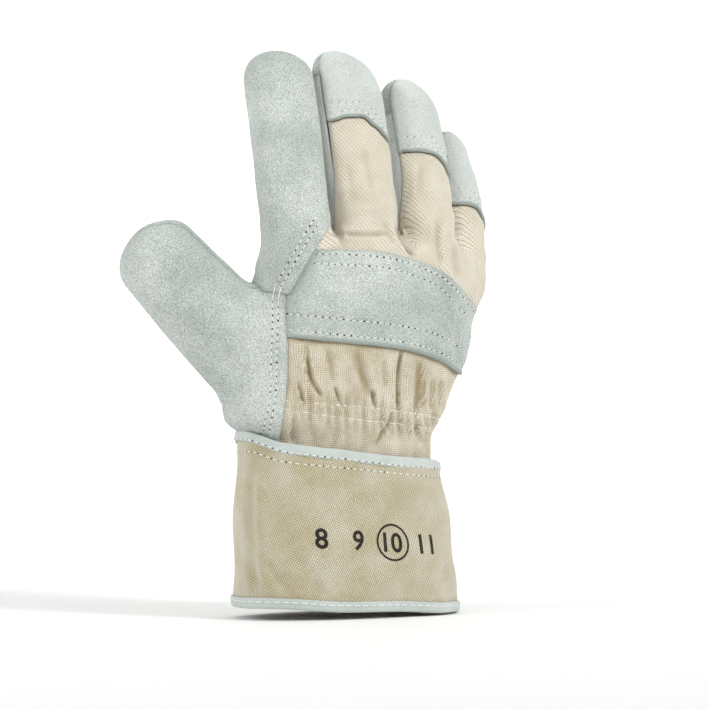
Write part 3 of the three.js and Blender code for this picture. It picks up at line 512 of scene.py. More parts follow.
print("lengths:", {name: round(float(digit["length"])) for name, digit in DIGITS.items()}, "mm")

# %% [markdown]
# ## A net over the form
#
# Surface nets make an even mesh from such a distance: every grid cell that the surface crosses
# gets one vertex, and every grid edge that it crosses gets one face. The grid's planes bend so that
# one runs midway between each pair of fingers, which keeps neighbours apart even where they nearly
# touch. A subdivision surface could do it too, but its cage would have to be drawn by hand.

# %% Net of the hand
STEP, GRID_PARTS, SMOOTHINGS = 1.5, 8, 2
# Between two fingers: x at this y and z, and how it changes with y and, above the foot, with z.
FINGER_SPACES = [(-7.7, 0.1, -0.055), (27.3, -0.08, 0), (62.2, -0.5, 0.25)]
SPACE_Y, SPACE_Z, SPACE_FOOT_Z = 8, 200, 176
NET_LOW, NET_HIGH = np.array([-112.0, -36.0, 62.0]), np.array([93.0, 47.0, 275.0])


def hand_grid():
    y, z = (np.arange(NET_LOW[axis], NET_HIGH[axis], STEP) for axis in (1, 2))
    y, z = np.meshgrid(y, z, indexing="ij")
    walls = [x + per_y * (y - SPACE_Y) + per_z * (np.maximum(z, SPACE_FOOT_Z) - SPACE_Z)
             for x, per_y, per_z in FINGER_SPACES]
    walls = [np.full_like(y, NET_LOW[0]), *walls, np.full_like(y, NET_HIGH[0])]
    planes = []
    for left, right in zip(walls, walls[1:]):
        count = round(float(np.mean(right - left)) / STEP)
        planes += [left + (right - left) * part / count for part in range(count)]
    x = np.stack([*planes, walls[-1]])
    return np.stack([x, np.broadcast_to(y, x.shape), np.broadcast_to(z, x.shape)], -1)


def surface_net(grid, values):
    """One vertex in each crossed cell and one four-sided face round each crossed edge."""
    inside = values < 0
    size = np.array(inside.shape)
    corners = [(i, j, k) for i in (0, 1) for j in (0, 1) for k in (0, 1)]
    votes = sum(inside[i:size[0] - 1 + i, j:size[1] - 1 + j, k:size[2] - 1 + k].astype(int)
                for i, j, k in corners)
    cells = np.argwhere((votes > 0) & (votes < 8))
    number = np.full(size - 1, -1)
    number[tuple(cells.T)] = np.arange(len(cells))
    total, count = np.zeros((len(cells), 3)), np.zeros(len(cells))
    for a in corners:
        for b in corners:
            if a < b and sum(np.abs(np.subtract(a, b))) == 1:
                start, end = tuple((cells + a).T), tuple((cells + b).T)
                crossed = inside[start] != inside[end]
                t = zero_between(values[start], values[end], crossed)[:, None]
                total += np.where(crossed[:, None], grid[start] + (grid[end] - grid[start]) * t, 0)
                count += crossed
    faces = []
    for axis in range(3):
        ahead, behind = [slice(None)] * 3, [slice(None)] * 3
        ahead[axis], behind[axis] = slice(1, None), slice(0, -1)
        crossed = np.argwhere(inside[tuple(behind)] != inside[tuple(ahead)])
        beside = [(axis + 1) % 3, (axis + 2) % 3]
        crossed = crossed[((crossed > 0) & (crossed < size - 1))[:, beside].all(1)]
        around = np.repeat(crossed[:, None], 4, 1)
        around[:, :, beside] += [(-1, -1), (0, -1), (0, 0), (-1, 0)]
        around = number[tuple(around.transpose(2, 0, 1))]
        faces.append(np.where(inside[tuple(crossed.T)][:, None], around, around[:, ::-1]))
    return total / count[:, None], np.concatenate(faces)


grid = hand_grid()
outside_by = np.concatenate([hand_form(part) for part in np.array_split(grid, GRID_PARTS)])
net_points, net_faces = surface_net(grid, outside_by)
start, end = np.concatenate([net_faces[:, [i, (i + 1) % 4]] for i in range(4)]).T
meeting = np.maximum(np.bincount(start, minlength=len(net_points)), 1)[:, None]
for _ in range(SMOOTHINGS):
    middle = summed(start, net_points[end], len(net_points)) / meeting
    net_points = settle(net_points + 0.5 * (middle - net_points), 2)
net_points = settle(net_points, 1)
print("net:", len(net_points), "points,", len(net_faces), "faces")

# %% [markdown]
# ## Where the seams run
#
# The panels of a sewn glove meet along lines that a pattern maker would draw on the flat. Here the
# lines on the back are given as they run in a view from 28 degrees to the side, as two numbers:
# millimetres across and height. The other seams follow the form: along the sides of the fingers,
# round the thumb's root and between two fingers. Each is kept as a field, the distance to the seam
# with a sign for its side, so that a panel is the region where its fields are negative.

# %% Seam lines
THUMB_WING_EDGE = [(-36, 40), (-32, 80), (-27.7, 101), (-27, 128), (-28.5, 134), (-28, 160)]
INDEX_TAIL_EDGE = [(-80, 155), (-43.5, 153.3), (-26.5, 150.9), (-13.9, 173.4), (-6.7, 185.2)]
STRAP_UPPER_EDGE = [(-40, 173.5), (10.5, 172), (25.2, 170.3), (42.1, 164.4), (50.7, 159.8), (66, 142)]
STRAP_LOWER_EDGE = [(-40, 132), (-9.1, 128.5), (25.2, 125.5), (42.1, 120.8), (51.7, 114.8), (60, 109)]
FRONT_SEAM = [(-12, 184), (10, 181), (27, 187), (45, 177), (66, 177)]
ELASTIC_ROWS = [[(-30, 101.2), (-27, 100.9), (12, 97.7), (38, 93.6), (54, 88.5)],
                [(-30, 97.5), (-27, 97), (2.9, 92.2), (28, 89.2), (54, 84)]]
STRAP_LAP, UNDER_LAP, INDEX_CROTCH_Z, BACK_SEAM, PALM_SEAM = 6, 2.2, 184, 0.3, -0.4
BACK_DIP = {"by": 6, "wide": 4, "foot": 8, "ends": (178, 212)}
CAP_UNREST, LAP_ENDS, WAVES = 0.5, (176, 186), 9
SIDE_STRIP = {"start": 0.22, "foot_z": 166, "past_tip": 2, "join": 3}
WING_WRAP, THUMB_SLEEVE_START, HAND_TUCK = 0.35, 14, 9
THUMB_SEAM = {"root": 0.05, "tip": 0.55, "low": -0.1, "climbs": (20, 70)}
TOP_EDGE = {"z": 76.5, "per_x": -0.11}
HEM_EDGE = {"z": 1, "per_x": -0.045}
CAPS = {"middle": (67, 11), "ring": (53, 9), "little": (27, 9)}
STRIPS = ("facingIndexMiddle", "facingMiddleRing", "facingRingLittle")


def curved(line, rounds=3):
    """A line with its corners cut off round by round."""
    line = np.array(line, float)
    for _ in range(rounds):
        early, late = 0.75 * line[:-1] + 0.25 * line[1:], 0.25 * line[:-1] + 0.75 * line[1:]
        cut = np.stack([early, late], 1).reshape(-1, 2)
        line = np.concatenate([line[:1], cut[1:-1], line[-1:]])
    return line


def side_of(line, across, height):
    """Signed distance from a line, positive on its left when walked from its first point."""
    nearest, side = np.full(np.shape(across), np.inf), np.zeros(np.shape(across))
    for i, ((x, z), (x_end, z_end)) in enumerate(zip(line, line[1:])):
        dx, dz = x_end - x, z_end - z
        t = ((across - x) * dx + (height - z) * dz) / (dx * dx + dz * dz)
        t = np.clip(t, -np.inf if i == 0 else 0, np.inf if i == len(line) - 2 else 1)
        ex, ez = across - x - t * dx, height - z - t * dz
        away = np.hypot(ex, ez)
        side = np.where(away < nearest, np.sign(dx * ez - dz * ex) * away, side)
        nearest = np.minimum(nearest, away)
    return side


def across_view(p):
    return p[..., 0] * math.cos(VIEW_TURN) - p[..., 1] * math.sin(VIEW_TURN)


def undulation(p, size, seed):
    """A smooth, even unrest between about -1 and 1, with waves of the given size."""
    random = np.random.RandomState(seed)
    total = np.zeros(len(p))
    for _ in range(WAVES):
        direction = random.normal(size=3)
        wave = 2 * math.pi / (size * random.uniform(0.7, 1.5)) * direction / lengths(direction)
        total += np.sin(p @ wave + random.uniform(0, 2 * math.pi))
    return total / math.sqrt(WAVES)


WING, TAIL = curved(THUMB_WING_EDGE), np.array(INDEX_TAIL_EDGE, float)
STRAP_TOP, STRAP_FOOT = curved(STRAP_UPPER_EDGE), curved(STRAP_LOWER_EDGE)
LAP_LINE = np.array([*THUMB_WING_EDGE[1:4], *INDEX_TAIL_EDGE[2:], (2, 201)], float)
print("lines on the back:", len(WING), len(TAIL), len(STRAP_TOP), len(STRAP_FOOT), "points")

# %% Seam fields
def seam_fields(p):
    """Every seam's field at points, in millimetres."""
    x, z, across = p[:, 0], p[:, 2], across_view(p)
    place, gap = places(p)
    hand, thumb = place["hand"], place["thumb"]
    sideways = {name: row["u"] / row["half"] for name, row in place.items()}
    finger_gap = least(*(gap[name] for name in FINGERS))

    def others(*names):
        return least(*(gap[name] for name in FINGERS if name not in names))

    def nearest(name):
        """Negative where a point lies nearer to this finger than to any other."""
        return (gap[name] - others(name)) / 2

    def along_side(share):
        """A seam along the sides of the hand and fingers, at this share of their depth."""
        names = ("hand", *FINGERS)
        weights = [np.exp((np.minimum(gap["hand"], finger_gap) - gap[name]) / 3) for name in names]
        levels = [place[name]["v"] + share * place[name]["deep"] for name in names]
        return sum(weight * level for weight, level in zip(weights, levels)) / sum(weights)

    def facing(left, right):
        """The strip between two fingers, on both of the sides that face each other."""
        to_right = (gap[left] - gap[right]) / 2
        sides = []
        for name, sign in ((left, 1), (right, -1)):
            start = SIDE_STRIP["start"] * place[name]["half"] - sign * place[name]["u"]
            past_tip = place[name]["s"] - DIGITS[name]["length"] - SIDE_STRIP["past_tip"]
            sides.append(most(sign * to_right - SIDE_STRIP["join"], start, past_tip))
        pair = np.minimum(gap[left], gap[right]) - others(left, right)
        return most(pair / 2, least(*sides), SIDE_STRIP["foot_z"] - z)

    back, palm_edge = along_side(BACK_SEAM), along_side(PALM_SEAM)
    tail = side_of(TAIL, across, z)
    edge = palm_edge + (back - palm_edge) * smoothstep(sideways["index"], -0.3, 0.3)
    index = most(edge, -tail, np.minimum(nearest("index"), z - INDEX_CROTCH_Z))
    nearer_thumb = (gap["thumb"] - np.minimum(gap["hand"], finger_gap)) / 2
    sleeve = np.maximum(nearer_thumb, THUMB_SLEEVE_START - thumb["s"])
    wing = most(-side_of(WING, across, z), tail, hand["v"] - WING_WRAP * hand["deep"])
    climb = (THUMB_SEAM["tip"] - THUMB_SEAM["root"]) * smoothstep(thumb["s"], *THUMB_SEAM["climbs"])
    upper = (THUMB_SEAM["root"] + climb) * smoothstep(sideways["thumb"], -0.4, 0.6)
    thumb_seam = thumb["v"] + thumb["deep"] * (THUMB_SEAM["low"] + upper)
    above_front = side_of(curved(FRONT_SEAM), x, z)
    strips = {name: facing(*pair) for name, pair in zip(STRIPS, zip(FINGERS, FINGERS[1:]))}
    between = hill(above(least(*strips.values())), BACK_DIP["wide"])
    between = between * (z > SIDE_STRIP["foot_z"] - BACK_DIP["foot"])
    back = back - BACK_DIP["by"] * between * (1 - smoothstep(z, *BACK_DIP["ends"]))
    fields = {
        "tuck": TOP_EDGE["z"] + TOP_EDGE["per_x"] * x - HAND_TUCK - z, "back": back, "index": index,
        "thumb": np.minimum(sleeve, wing), "thumbFront": np.maximum(sleeve, -thumb_seam),
        "palmEdge": palm_edge,
        "frontMiddle": np.maximum(nearest("middle"), -above_front),
        "frontRing": np.maximum(nearest("ring"), -above_front),
        **strips,
        "strapHead": side_of(STRAP_TOP, across, z), "strapFoot": side_of(STRAP_FOOT, across, z),
    }
    for name, (start, drop) in CAPS.items():
        foot = place[name]["s"] + drop * smoothstep(sideways[name], -0.1, 1) - start
        fields["foot_" + name] = foot + CAP_UNREST * undulation(p, 9, 4)
        fields["cap_" + name] = np.maximum(nearest(name), -fields["foot_" + name])
    lap = hill(above(np.abs(side_of(LAP_LINE, across, z)), 3), 4) * (1 - smoothstep(z, *LAP_ENDS))
    fields["underLap"] = np.minimum(index, fields["thumb"]) + UNDER_LAP * lap
    fields["upperLap"] = fields["strapHead"] + STRAP_LAP
    fields["lowerLap"] = fields["strapFoot"] - STRAP_LAP
    return fields


FIELDS = list(seam_fields(np.array([[0.0, 0.0, 150.0]])))
print("seam fields:", len(FIELDS))

# %% [markdown]
# ## Cutting the net into panels
#
# Cutting along a field works like shears along a chalk line: an edge that crosses the line gets a
# new point there, and its faces are split. A point that is already close moves onto the line
# instead, so that no slivers are left. All the lines are cut on one net, so two panels that meet
# share every point of their seam.

# %% Cutting
SNAP, SEWN_SNAP, SNAP_SHARE = 0.02, 0.18, 0.25


def columns(data):
    """The seam fields of points as a dictionary."""
    return dict(zip(FIELDS, data[:, 3:].T))


def sides_of(faces):
    """Each triangle's three sides as pairs of points, in the direction that it is walked."""
    return np.stack([faces, np.roll(faces, -1, 1)], 2).reshape(-1, 2)


def edges_of(faces):
    """Every edge once, and for each side of each triangle the number of its edge."""
    sides = np.sort(sides_of(faces), 1)
    span = sides.max() + 1
    keys, which = np.unique(sides[:, 0] * span + sides[:, 1], return_inverse=True)
    return np.stack([keys // span, keys % span], 1), which.reshape(-1, 3)


def cut_along(data, faces, sewn, name, near):
    field = 3 + FIELDS.index(name)
    data[np.abs(data[:, field]) < np.where(sewn, SEWN_SNAP, SNAP), field] = 0
    edges, which = edges_of(faces)
    a, b = edges.T
    open_here = near(columns(data)) & np.ones(len(data), bool)

    def crossings():
        value = data[:, field]
        crosses = (value[a] * value[b] < 0) & open_here[a] & open_here[b]
        t = zero_between(value[a], value[b], crosses)
        return crosses, t, data[a] + (data[b] - data[a]) * t[:, None]

    crosses, t, place = crossings()
    owner = np.where(t < 0.5, a, b)
    moving = crosses & (np.minimum(t, 1 - t) < SNAP_SHARE) & ~sewn[owner]
    total = summed(owner[moving], place[moving], len(data))
    count = np.bincount(owner[moving], minlength=len(data))
    hit = count > 0
    data[hit] = total[hit] / count[hit, None]
    data[hit, field] = 0
    sewn[hit] = True

    crosses, t, place = crossings()
    place[:, field] = 0
    number = np.full(len(a), -1)
    number[crosses] = len(data) + np.arange(crosses.sum())
    data = np.concatenate([data, place[crosses]])
    sewn = np.concatenate([sewn, np.ones(crosses.sum(), bool)])
    middle = number[which]
    cuts = (middle >= 0).sum(1)
    parts = [faces[cuts == 0]]
    for side in range(3):
        turned, turned_middle = np.roll(faces, -side, 1), np.roll(middle, -side, 1)
        here = (cuts == 1) & (middle[:, side] >= 0)
        (p, q, r), m = turned[here].T, turned_middle[here, 0]
        parts += [np.stack([m, q, r], 1), np.stack([m, r, p], 1)]
        here = (cuts == 2) & (middle[:, (side + 2) % 3] < 0)
        (p, q, r), (m, n, _) = turned[here].T, turned_middle[here].T
        parts += [np.stack([m, q, n], 1), np.stack([n, r, p], 1), np.stack([n, p, m], 1)]
    return data, np.concatenate(parts), sewn


print("points move to a line that crosses within", SNAP_SHARE, "of an edge")

# %% Where each seam is cut
def off_thumb(m):
    return m["thumb"] > -STEP / 2


def off_index(m):
    return m["index"] > -STEP / 2


def by_strips(m):
    return (least(*(m[name] for name in STRIPS)) < STEP) & (m["back"] > -STEP) & off_index(m)


def behind(m):
    return (m["back"] < STEP) & (m["thumb"] > -UNDER_LAP - STEP)


def in_strip(facing, m):
    return most(-m["back"], m["palmEdge"], m[facing], -m["index"])


SEAMS = {
    "tuck": lambda m: True,
    "thumb": lambda m: True,
    "thumbFront": lambda m: m["thumb"] < STEP,
    "index": off_thumb,
    "back": lambda m: off_thumb(m) & off_index(m),
    "palmEdge": by_strips,
    **dict.fromkeys(STRIPS, lambda m: (m["back"] > -STEP) & (m["palmEdge"] < STEP)),
    **dict.fromkeys(("frontMiddle", "frontRing"), lambda m: m["back"] > STEP),
    **{"cap_" + name: behind for name in CAPS},
    **dict.fromkeys(("strapHead", "strapFoot", "upperLap", "lowerLap"), behind),
    "underLap": lambda m: m["back"] < STEP,
}

corner = net_points[net_faces]
diagonal = lengths(corner[:, :2] - corner[:, 2:])
first_shorter = (diagonal[:, 0] < diagonal[:, 1])[:, None]
halves = np.where(first_shorter, net_faces[:, [0, 1, 2, 0, 2, 3]], net_faces[:, [0, 1, 3, 1, 2, 3]])
net_triangles = halves.reshape(-1, 3)
data = np.concatenate([net_points, np.stack(list(seam_fields(net_points).values()), 1)], 1)
sewn = np.zeros(len(data), bool)
for name, near in SEAMS.items():
    data, net_triangles, sewn = cut_along(data, net_triangles, sewn, name, near)
print("after cutting:", len(data), "points,", len(net_triangles), "triangles")

# %% [markdown]
# ## Folds and hollows
#
# Leather that bends at a joint sinks into broad, soft valleys. The cotton on the back is drawn in
# by two rows of elastic thread, so it stands in small puckers beside the rows, soft gathers run up
# from there to the strap, and sharper folds cross them. Each fold is a line in the marking view
# with a depth and a width, or one width for each of its sides, and cloth that goes in somewhere
# comes out beside it, so a fold has raised shoulders.

# %% Folds and hollows
HOLLOWS = [
    ([(-70, 132), (-47, 112)], 2.4, 9), ([(-57, 152), (-38, 140)], 1.6, 8),
    ([(-3, 181), (20, 179)], 0.6, 8), ([(-76, 160), (-54, 149)], 1.4, 7),
    ([(26, 184), (32, 170)], 1.2, 7),
]
LEATHER_FOLDS = [
    ([(-62, 126), (-50, 141)], 0.4, 4), ([(-66, 139), (-52, 119)], 0.4, 5),
    ([(-50, 118), (-38, 108)], 0.5, 5), ([(-40, 92), (-34, 118)], 0.5, 6),
]
TAIL_RIDGE = [([(-39, 176), (-36, 156)], 0.8, 3)]
STRAP_FOLDS = [([(53.5, 155), (52, 118)], 1.1, 2.2), ([(27, 124), (28, 135)], 0.8, 2)]
COTTON_FOLDS = [
    ([(-18.8, 130), (-17.8, 121), (-15.6, 110), (-9, 101)], 1.4, 2.4, 0.9),
    ([(-5.4, 109), (-1.2, 96.5)], 1.1, 1.2, 0.9), ([(-23, 111), (-18.8, 98)], 1.0, 1.2, 1.0),
    ([(26.8, 128), (24.5, 106), (25, 94.5)], 1.5, 1.5, 0.9),
    ([(4, 128), (7.9, 112.6), (15, 98)], 1.1, 3.6, 2.4), ([(13, 107), (14.6, 96)], 1.0, 1.4, 0.9),
    ([(22.5, 98), (22, 92), (19, 87), (13, 79)], 1.1, 1.3, 1.1), ([(35.4, 122), (34.8, 94)], 1.2, 3, 2),
    ([(41.5, 112), (40, 95)], 0.9, 2, 1.4), ([(46, 113), (45, 96)], 0.8, 1.6, 1.4),
    ([(-9, 128), (-5, 108)], 0.7, 2.4, 1.8), ([(18, 122), (19.5, 106)], 0.6, 2.2, 1.6),
    ([(-24, 95), (-26, 80)], 0.6, 2.2), ([(-9, 93), (-11, 80)], 0.4, 2.4),
    ([(3, 92), (4, 81)], 0.3, 2.6), ([(33, 90), (37, 79)], 0.6, 2),
]
UPPER_FOLDS = [
    ([(-5, 180.5), (9, 179.6), (22, 180.5)], 1.0, 2, 1.4),
    ([(24, 186.5), (27, 178), (33, 169)], 1.8, 1.8, 1.0),
    ([(-6, 187), (-2, 176)], 0.6, 2), ([(18, 187), (24, 175)], 0.6, 2.6, 1.8),
    ([(44, 189), (46, 165)], 0.8, 2.6, 2), ([(8, 223), (13, 199)], 0.5, 3),
    ([(37, 216), (35, 199)], 0.5, 2.5), ([(52, 179), (54, 159)], 0.7, 2.6),
    ([(1, 215), (4, 194)], 0.4, 3),
]
PUCKER = {"deep": 0.7, "pitch": 4.2, "spread": 5}
GATHER = {"deep": 0.4, "pitch": 8.5}
COTTON_FOLD_GAIN, UPPER_FOLD_GAIN = 1.35, 1.2
# A fold's shoulder lies this many widths beside its middle.
SHOULDER_AT = 1.4


def grooves(rows, across, height, shoulder=0.0):
    """The depth of folds at places of the marking view, fading out at both ends."""
    depth = np.zeros(np.shape(across))
    for line, deep, *wide in rows:
        line = curved(line, 2)
        walked = walked_along(line)
        nearest, share = np.full(np.shape(across), np.inf), np.zeros(np.shape(across))
        for (x, z), (x_end, z_end), start, end in zip(line, line[1:], walked, walked[1:]):
            leg = end - start
            t = np.clip(((across - x) * (x_end - x) + (height - z) * (z_end - z)) / leg ** 2, 0, 1)
            away = np.hypot(across - x - t * (x_end - x), height - z - t * (z_end - z))
            share = np.where(away < nearest, (start + t * leg) / walked[-1], share)
            nearest = np.minimum(nearest, away)
        away = nearest / np.where(side_of(line, across, height) < 0, wide[0], wide[-1])
        ends = smoothstep(share, -0.02, 0.25) * smoothstep(1 - share, -0.02, 0.2)
        beside = shoulder * np.exp(-3 * (away - SHOULDER_AT) ** 2)
        depth += deep * ends * (np.exp(-2 * away ** 2) - beside)
    return depth


print("folds in the cotton:", len(COTTON_FOLDS), "below the strap,", len(UPPER_FOLDS), "above it")

# %% [markdown]
# ## From a patch of the net to a sewn panel
#
# Each panel is a closed sheet of its real thickness: an outer face, a rounded edge and an inner
# face. Goods that are sewn right sides together roll down into their seam, so the outer face dips
# there. Where an edge is folded under and laid on top, it stands up as a thick, smooth lip. Near the
# border the net is pushed inwards a little, which makes room for the rounded edge.

# %% Patches of the net
def linked(count, pairs):
    """Numbers the groups of linked things."""
    label = np.arange(count)
    while True:
        roots = label[pairs]
        low = roots.min(1)
        if (roots == low[:, None]).all():
            return np.unique(label, return_inverse=True)[1]
        np.minimum.at(label, roots.ravel(), np.repeat(low, 2))
        while (label != label[label]).any():
            label = label[label]


def paired_sides(faces):
    """The triangle sides that share their edge with another side, and that other side."""
    start, end = sides_of(faces).T
    span = faces.max() + 1
    key, opposite = start * span + end, end * span + start
    order = np.argsort(key)
    found = order[np.clip(np.searchsorted(key[order], opposite), 0, len(key) - 1)]
    paired = np.flatnonzero(key[found] == opposite)
    return paired, found[paired]


def rim_of(faces):
    """The directed sides on the border of a patch."""
    return np.delete(sides_of(faces), paired_sides(faces)[0], 0)


def take_patch(data, faces, inside):
    """The largest piece of the net where a field is negative, as points and triangles of its own."""
    faces = faces[inside(columns(data[faces].mean(1))) < 0]
    side, other = paired_sides(faces)
    group = linked(len(faces), np.stack([side // 3, other // 3], 1))
    faces = faces[group == np.bincount(group).argmax()]
    side, other = paired_sides(faces)
    after, after_other = (sides - sides % 3 + (sides + 1) % 3 for sides in (side, other))
    meeting = [np.stack([side, after_other], 1), np.stack([after, other], 1)]
    corner = linked(faces.size, np.concatenate(meeting))
    points = np.zeros((corner.max() + 1, data.shape[1]))
    points[corner] = data[faces.ravel()]
    return points, corner.reshape(-1, 3)


def refined(data, faces):
    """Splits each triangle into four."""
    edges, which = edges_of(faces)
    ab, bc, ca = (len(data) + which).T
    a, b, c = faces.T
    data = np.concatenate([data, data[edges].mean(1)])
    parts = (a, ab, ca), (ab, b, bc), (ca, bc, c), (ab, bc, ca)
    return data, np.concatenate([np.stack(part, 1) for part in parts])


def vertex_normals(points, faces):
    corner = points[faces]
    flat = np.cross(corner[:, 1] - corner[:, 0], corner[:, 2] - corner[:, 0])
    return unit(summed(faces.ravel(), np.repeat(flat, 3, 0), len(points)))


RIM_PARTS = 4


def border_distance(points, normals, rim):
    """How far each point lies from the border, the direction away from it, and the border's points."""
    inward = unit(np.cross(normals[rim].sum(1), points[rim[:, 1]] - points[rim[:, 0]]))
    tree = kdtree.KDTree(RIM_PARTS * len(rim))
    for i, (a, b) in enumerate(rim):
        for k in range(RIM_PARTS):
            tree.insert(points[a] + (points[b] - points[a]) * k / RIM_PARTS, RIM_PARTS * i + k)
    tree.balance()
    nearest, _, distance = (np.array(found) for found in zip(*(tree.find(p) for p in points)))
    away, loop = points - nearest, np.unique(rim)
    distance[loop] = 0
    away[loop] = summed(rim.ravel(), np.repeat(inward, 2, 0), len(points))[loop]
    return distance, unit(away), loop


print("open border of the cut net:", len(rim_of(net_triangles)), "sides")

# %% Panels
LEATHER = {"level": 0.0, "wall": 1.5, "round": 0.36, "roll": 0.55,
           "material": leather, "slot": "split_leather"}
FINE_LEATHER = {**LEATHER, "fine": True}
STRIP = {**LEATHER, "roll": 0.25, "material": strip_leather_painted_light}
COTTON = {"level": -0.15, "wall": 1.2, "round": 0.4, "roll": 0.5, "fine": True,
          "material": drill, "slot": "cotton_drill"}
STRAP = {**FINE_LEATHER, "level": 1.35, "wall": 1.2, "round": 0.46, "roll": 0.25}
CAP = {**FINE_LEATHER, "level": 0.4, "round": 0.46, "roll": 0.45, "material": fingertip_leather}


def on_palm(m):
    return -least(m["back"], m["index"], m["thumb"], *(in_strip(name, m) for name in STRIPS))


def on_back(m):
    return most(m["tuck"], m["back"], -m["underLap"])


def caps_of(m):
    return least(*(m["cap_" + name] for name in CAPS))


PANELS = {
    "palm_leather": (
        LEATHER, lambda m: most(m["tuck"], on_palm(m), -m["frontMiddle"], -m["frontRing"])),
    "middle_front_leather": (LEATHER, lambda m: most(on_palm(m), m["frontMiddle"])),
    "ring_front_leather": (LEATHER, lambda m: most(on_palm(m), m["frontRing"])),
    "index_leather": (FINE_LEATHER, lambda m: most(m["index"], -m["thumb"])),
    "thumb_back_leather": (FINE_LEATHER, lambda m: most(m["tuck"], m["thumb"], -m["thumbFront"])),
    "thumb_front_leather": (LEATHER, lambda m: most(m["tuck"], m["thumbFront"])),
    "side_strip_index_middle": (STRIP, lambda m: in_strip(STRIPS[0], m)),
    "side_strip_middle_ring": (STRIP, lambda m: in_strip(STRIPS[1], m)),
    "side_strip_ring_little": (STRIP, lambda m: in_strip(STRIPS[2], m)),
    "back_upper_cotton": (COTTON, lambda m: most(on_back(m), -caps_of(m), -m["upperLap"])),
    "back_lower_cotton": ({**COTTON, "material": plain}, lambda m: most(on_back(m), m["lowerLap"])),
    "knuckle_strap": (STRAP, lambda m: most(on_back(m), m["strapHead"], -m["strapFoot"])),
    **{"fingertip_cap_" + name: (
        {**CAP, "lip": name}, lambda m, name=name: most(m["back"], m["cap_" + name])) for name in CAPS},
}
print("panels:", ", ".join(PANELS))

# %% Relief of a panel
# How far the stitch rows lie from the edge beside them, in mm.
LAP_ROWS, STRAP_HEAD_ROWS, STRAP_FOOT_ROWS, CAP_ROWS = (5.1, 7.8), (2.6, 7.3), (3.8, 11.2), (3.5, 8.0)
LIP_HIGH, LAP_HIGH, LAP_THINNER, SIDES_CLOSER = 0.55, 1.3, 0.4, 1.1
ROW_DEEP, ROW_WIDE, ROLL_WIDE, SEAM_DARK, SEAM_DARK_WIDE = 0.35, 0.9, 1.3, 0.3, 0.7
COTTON_BELOW_STRAP, STRAP_SIDES_DOWN, STRAP_DOWN_AT_LAP = 0.7, 1.1, 1.2
UNREST, UPPER_UNREST = 0.3, 0.35


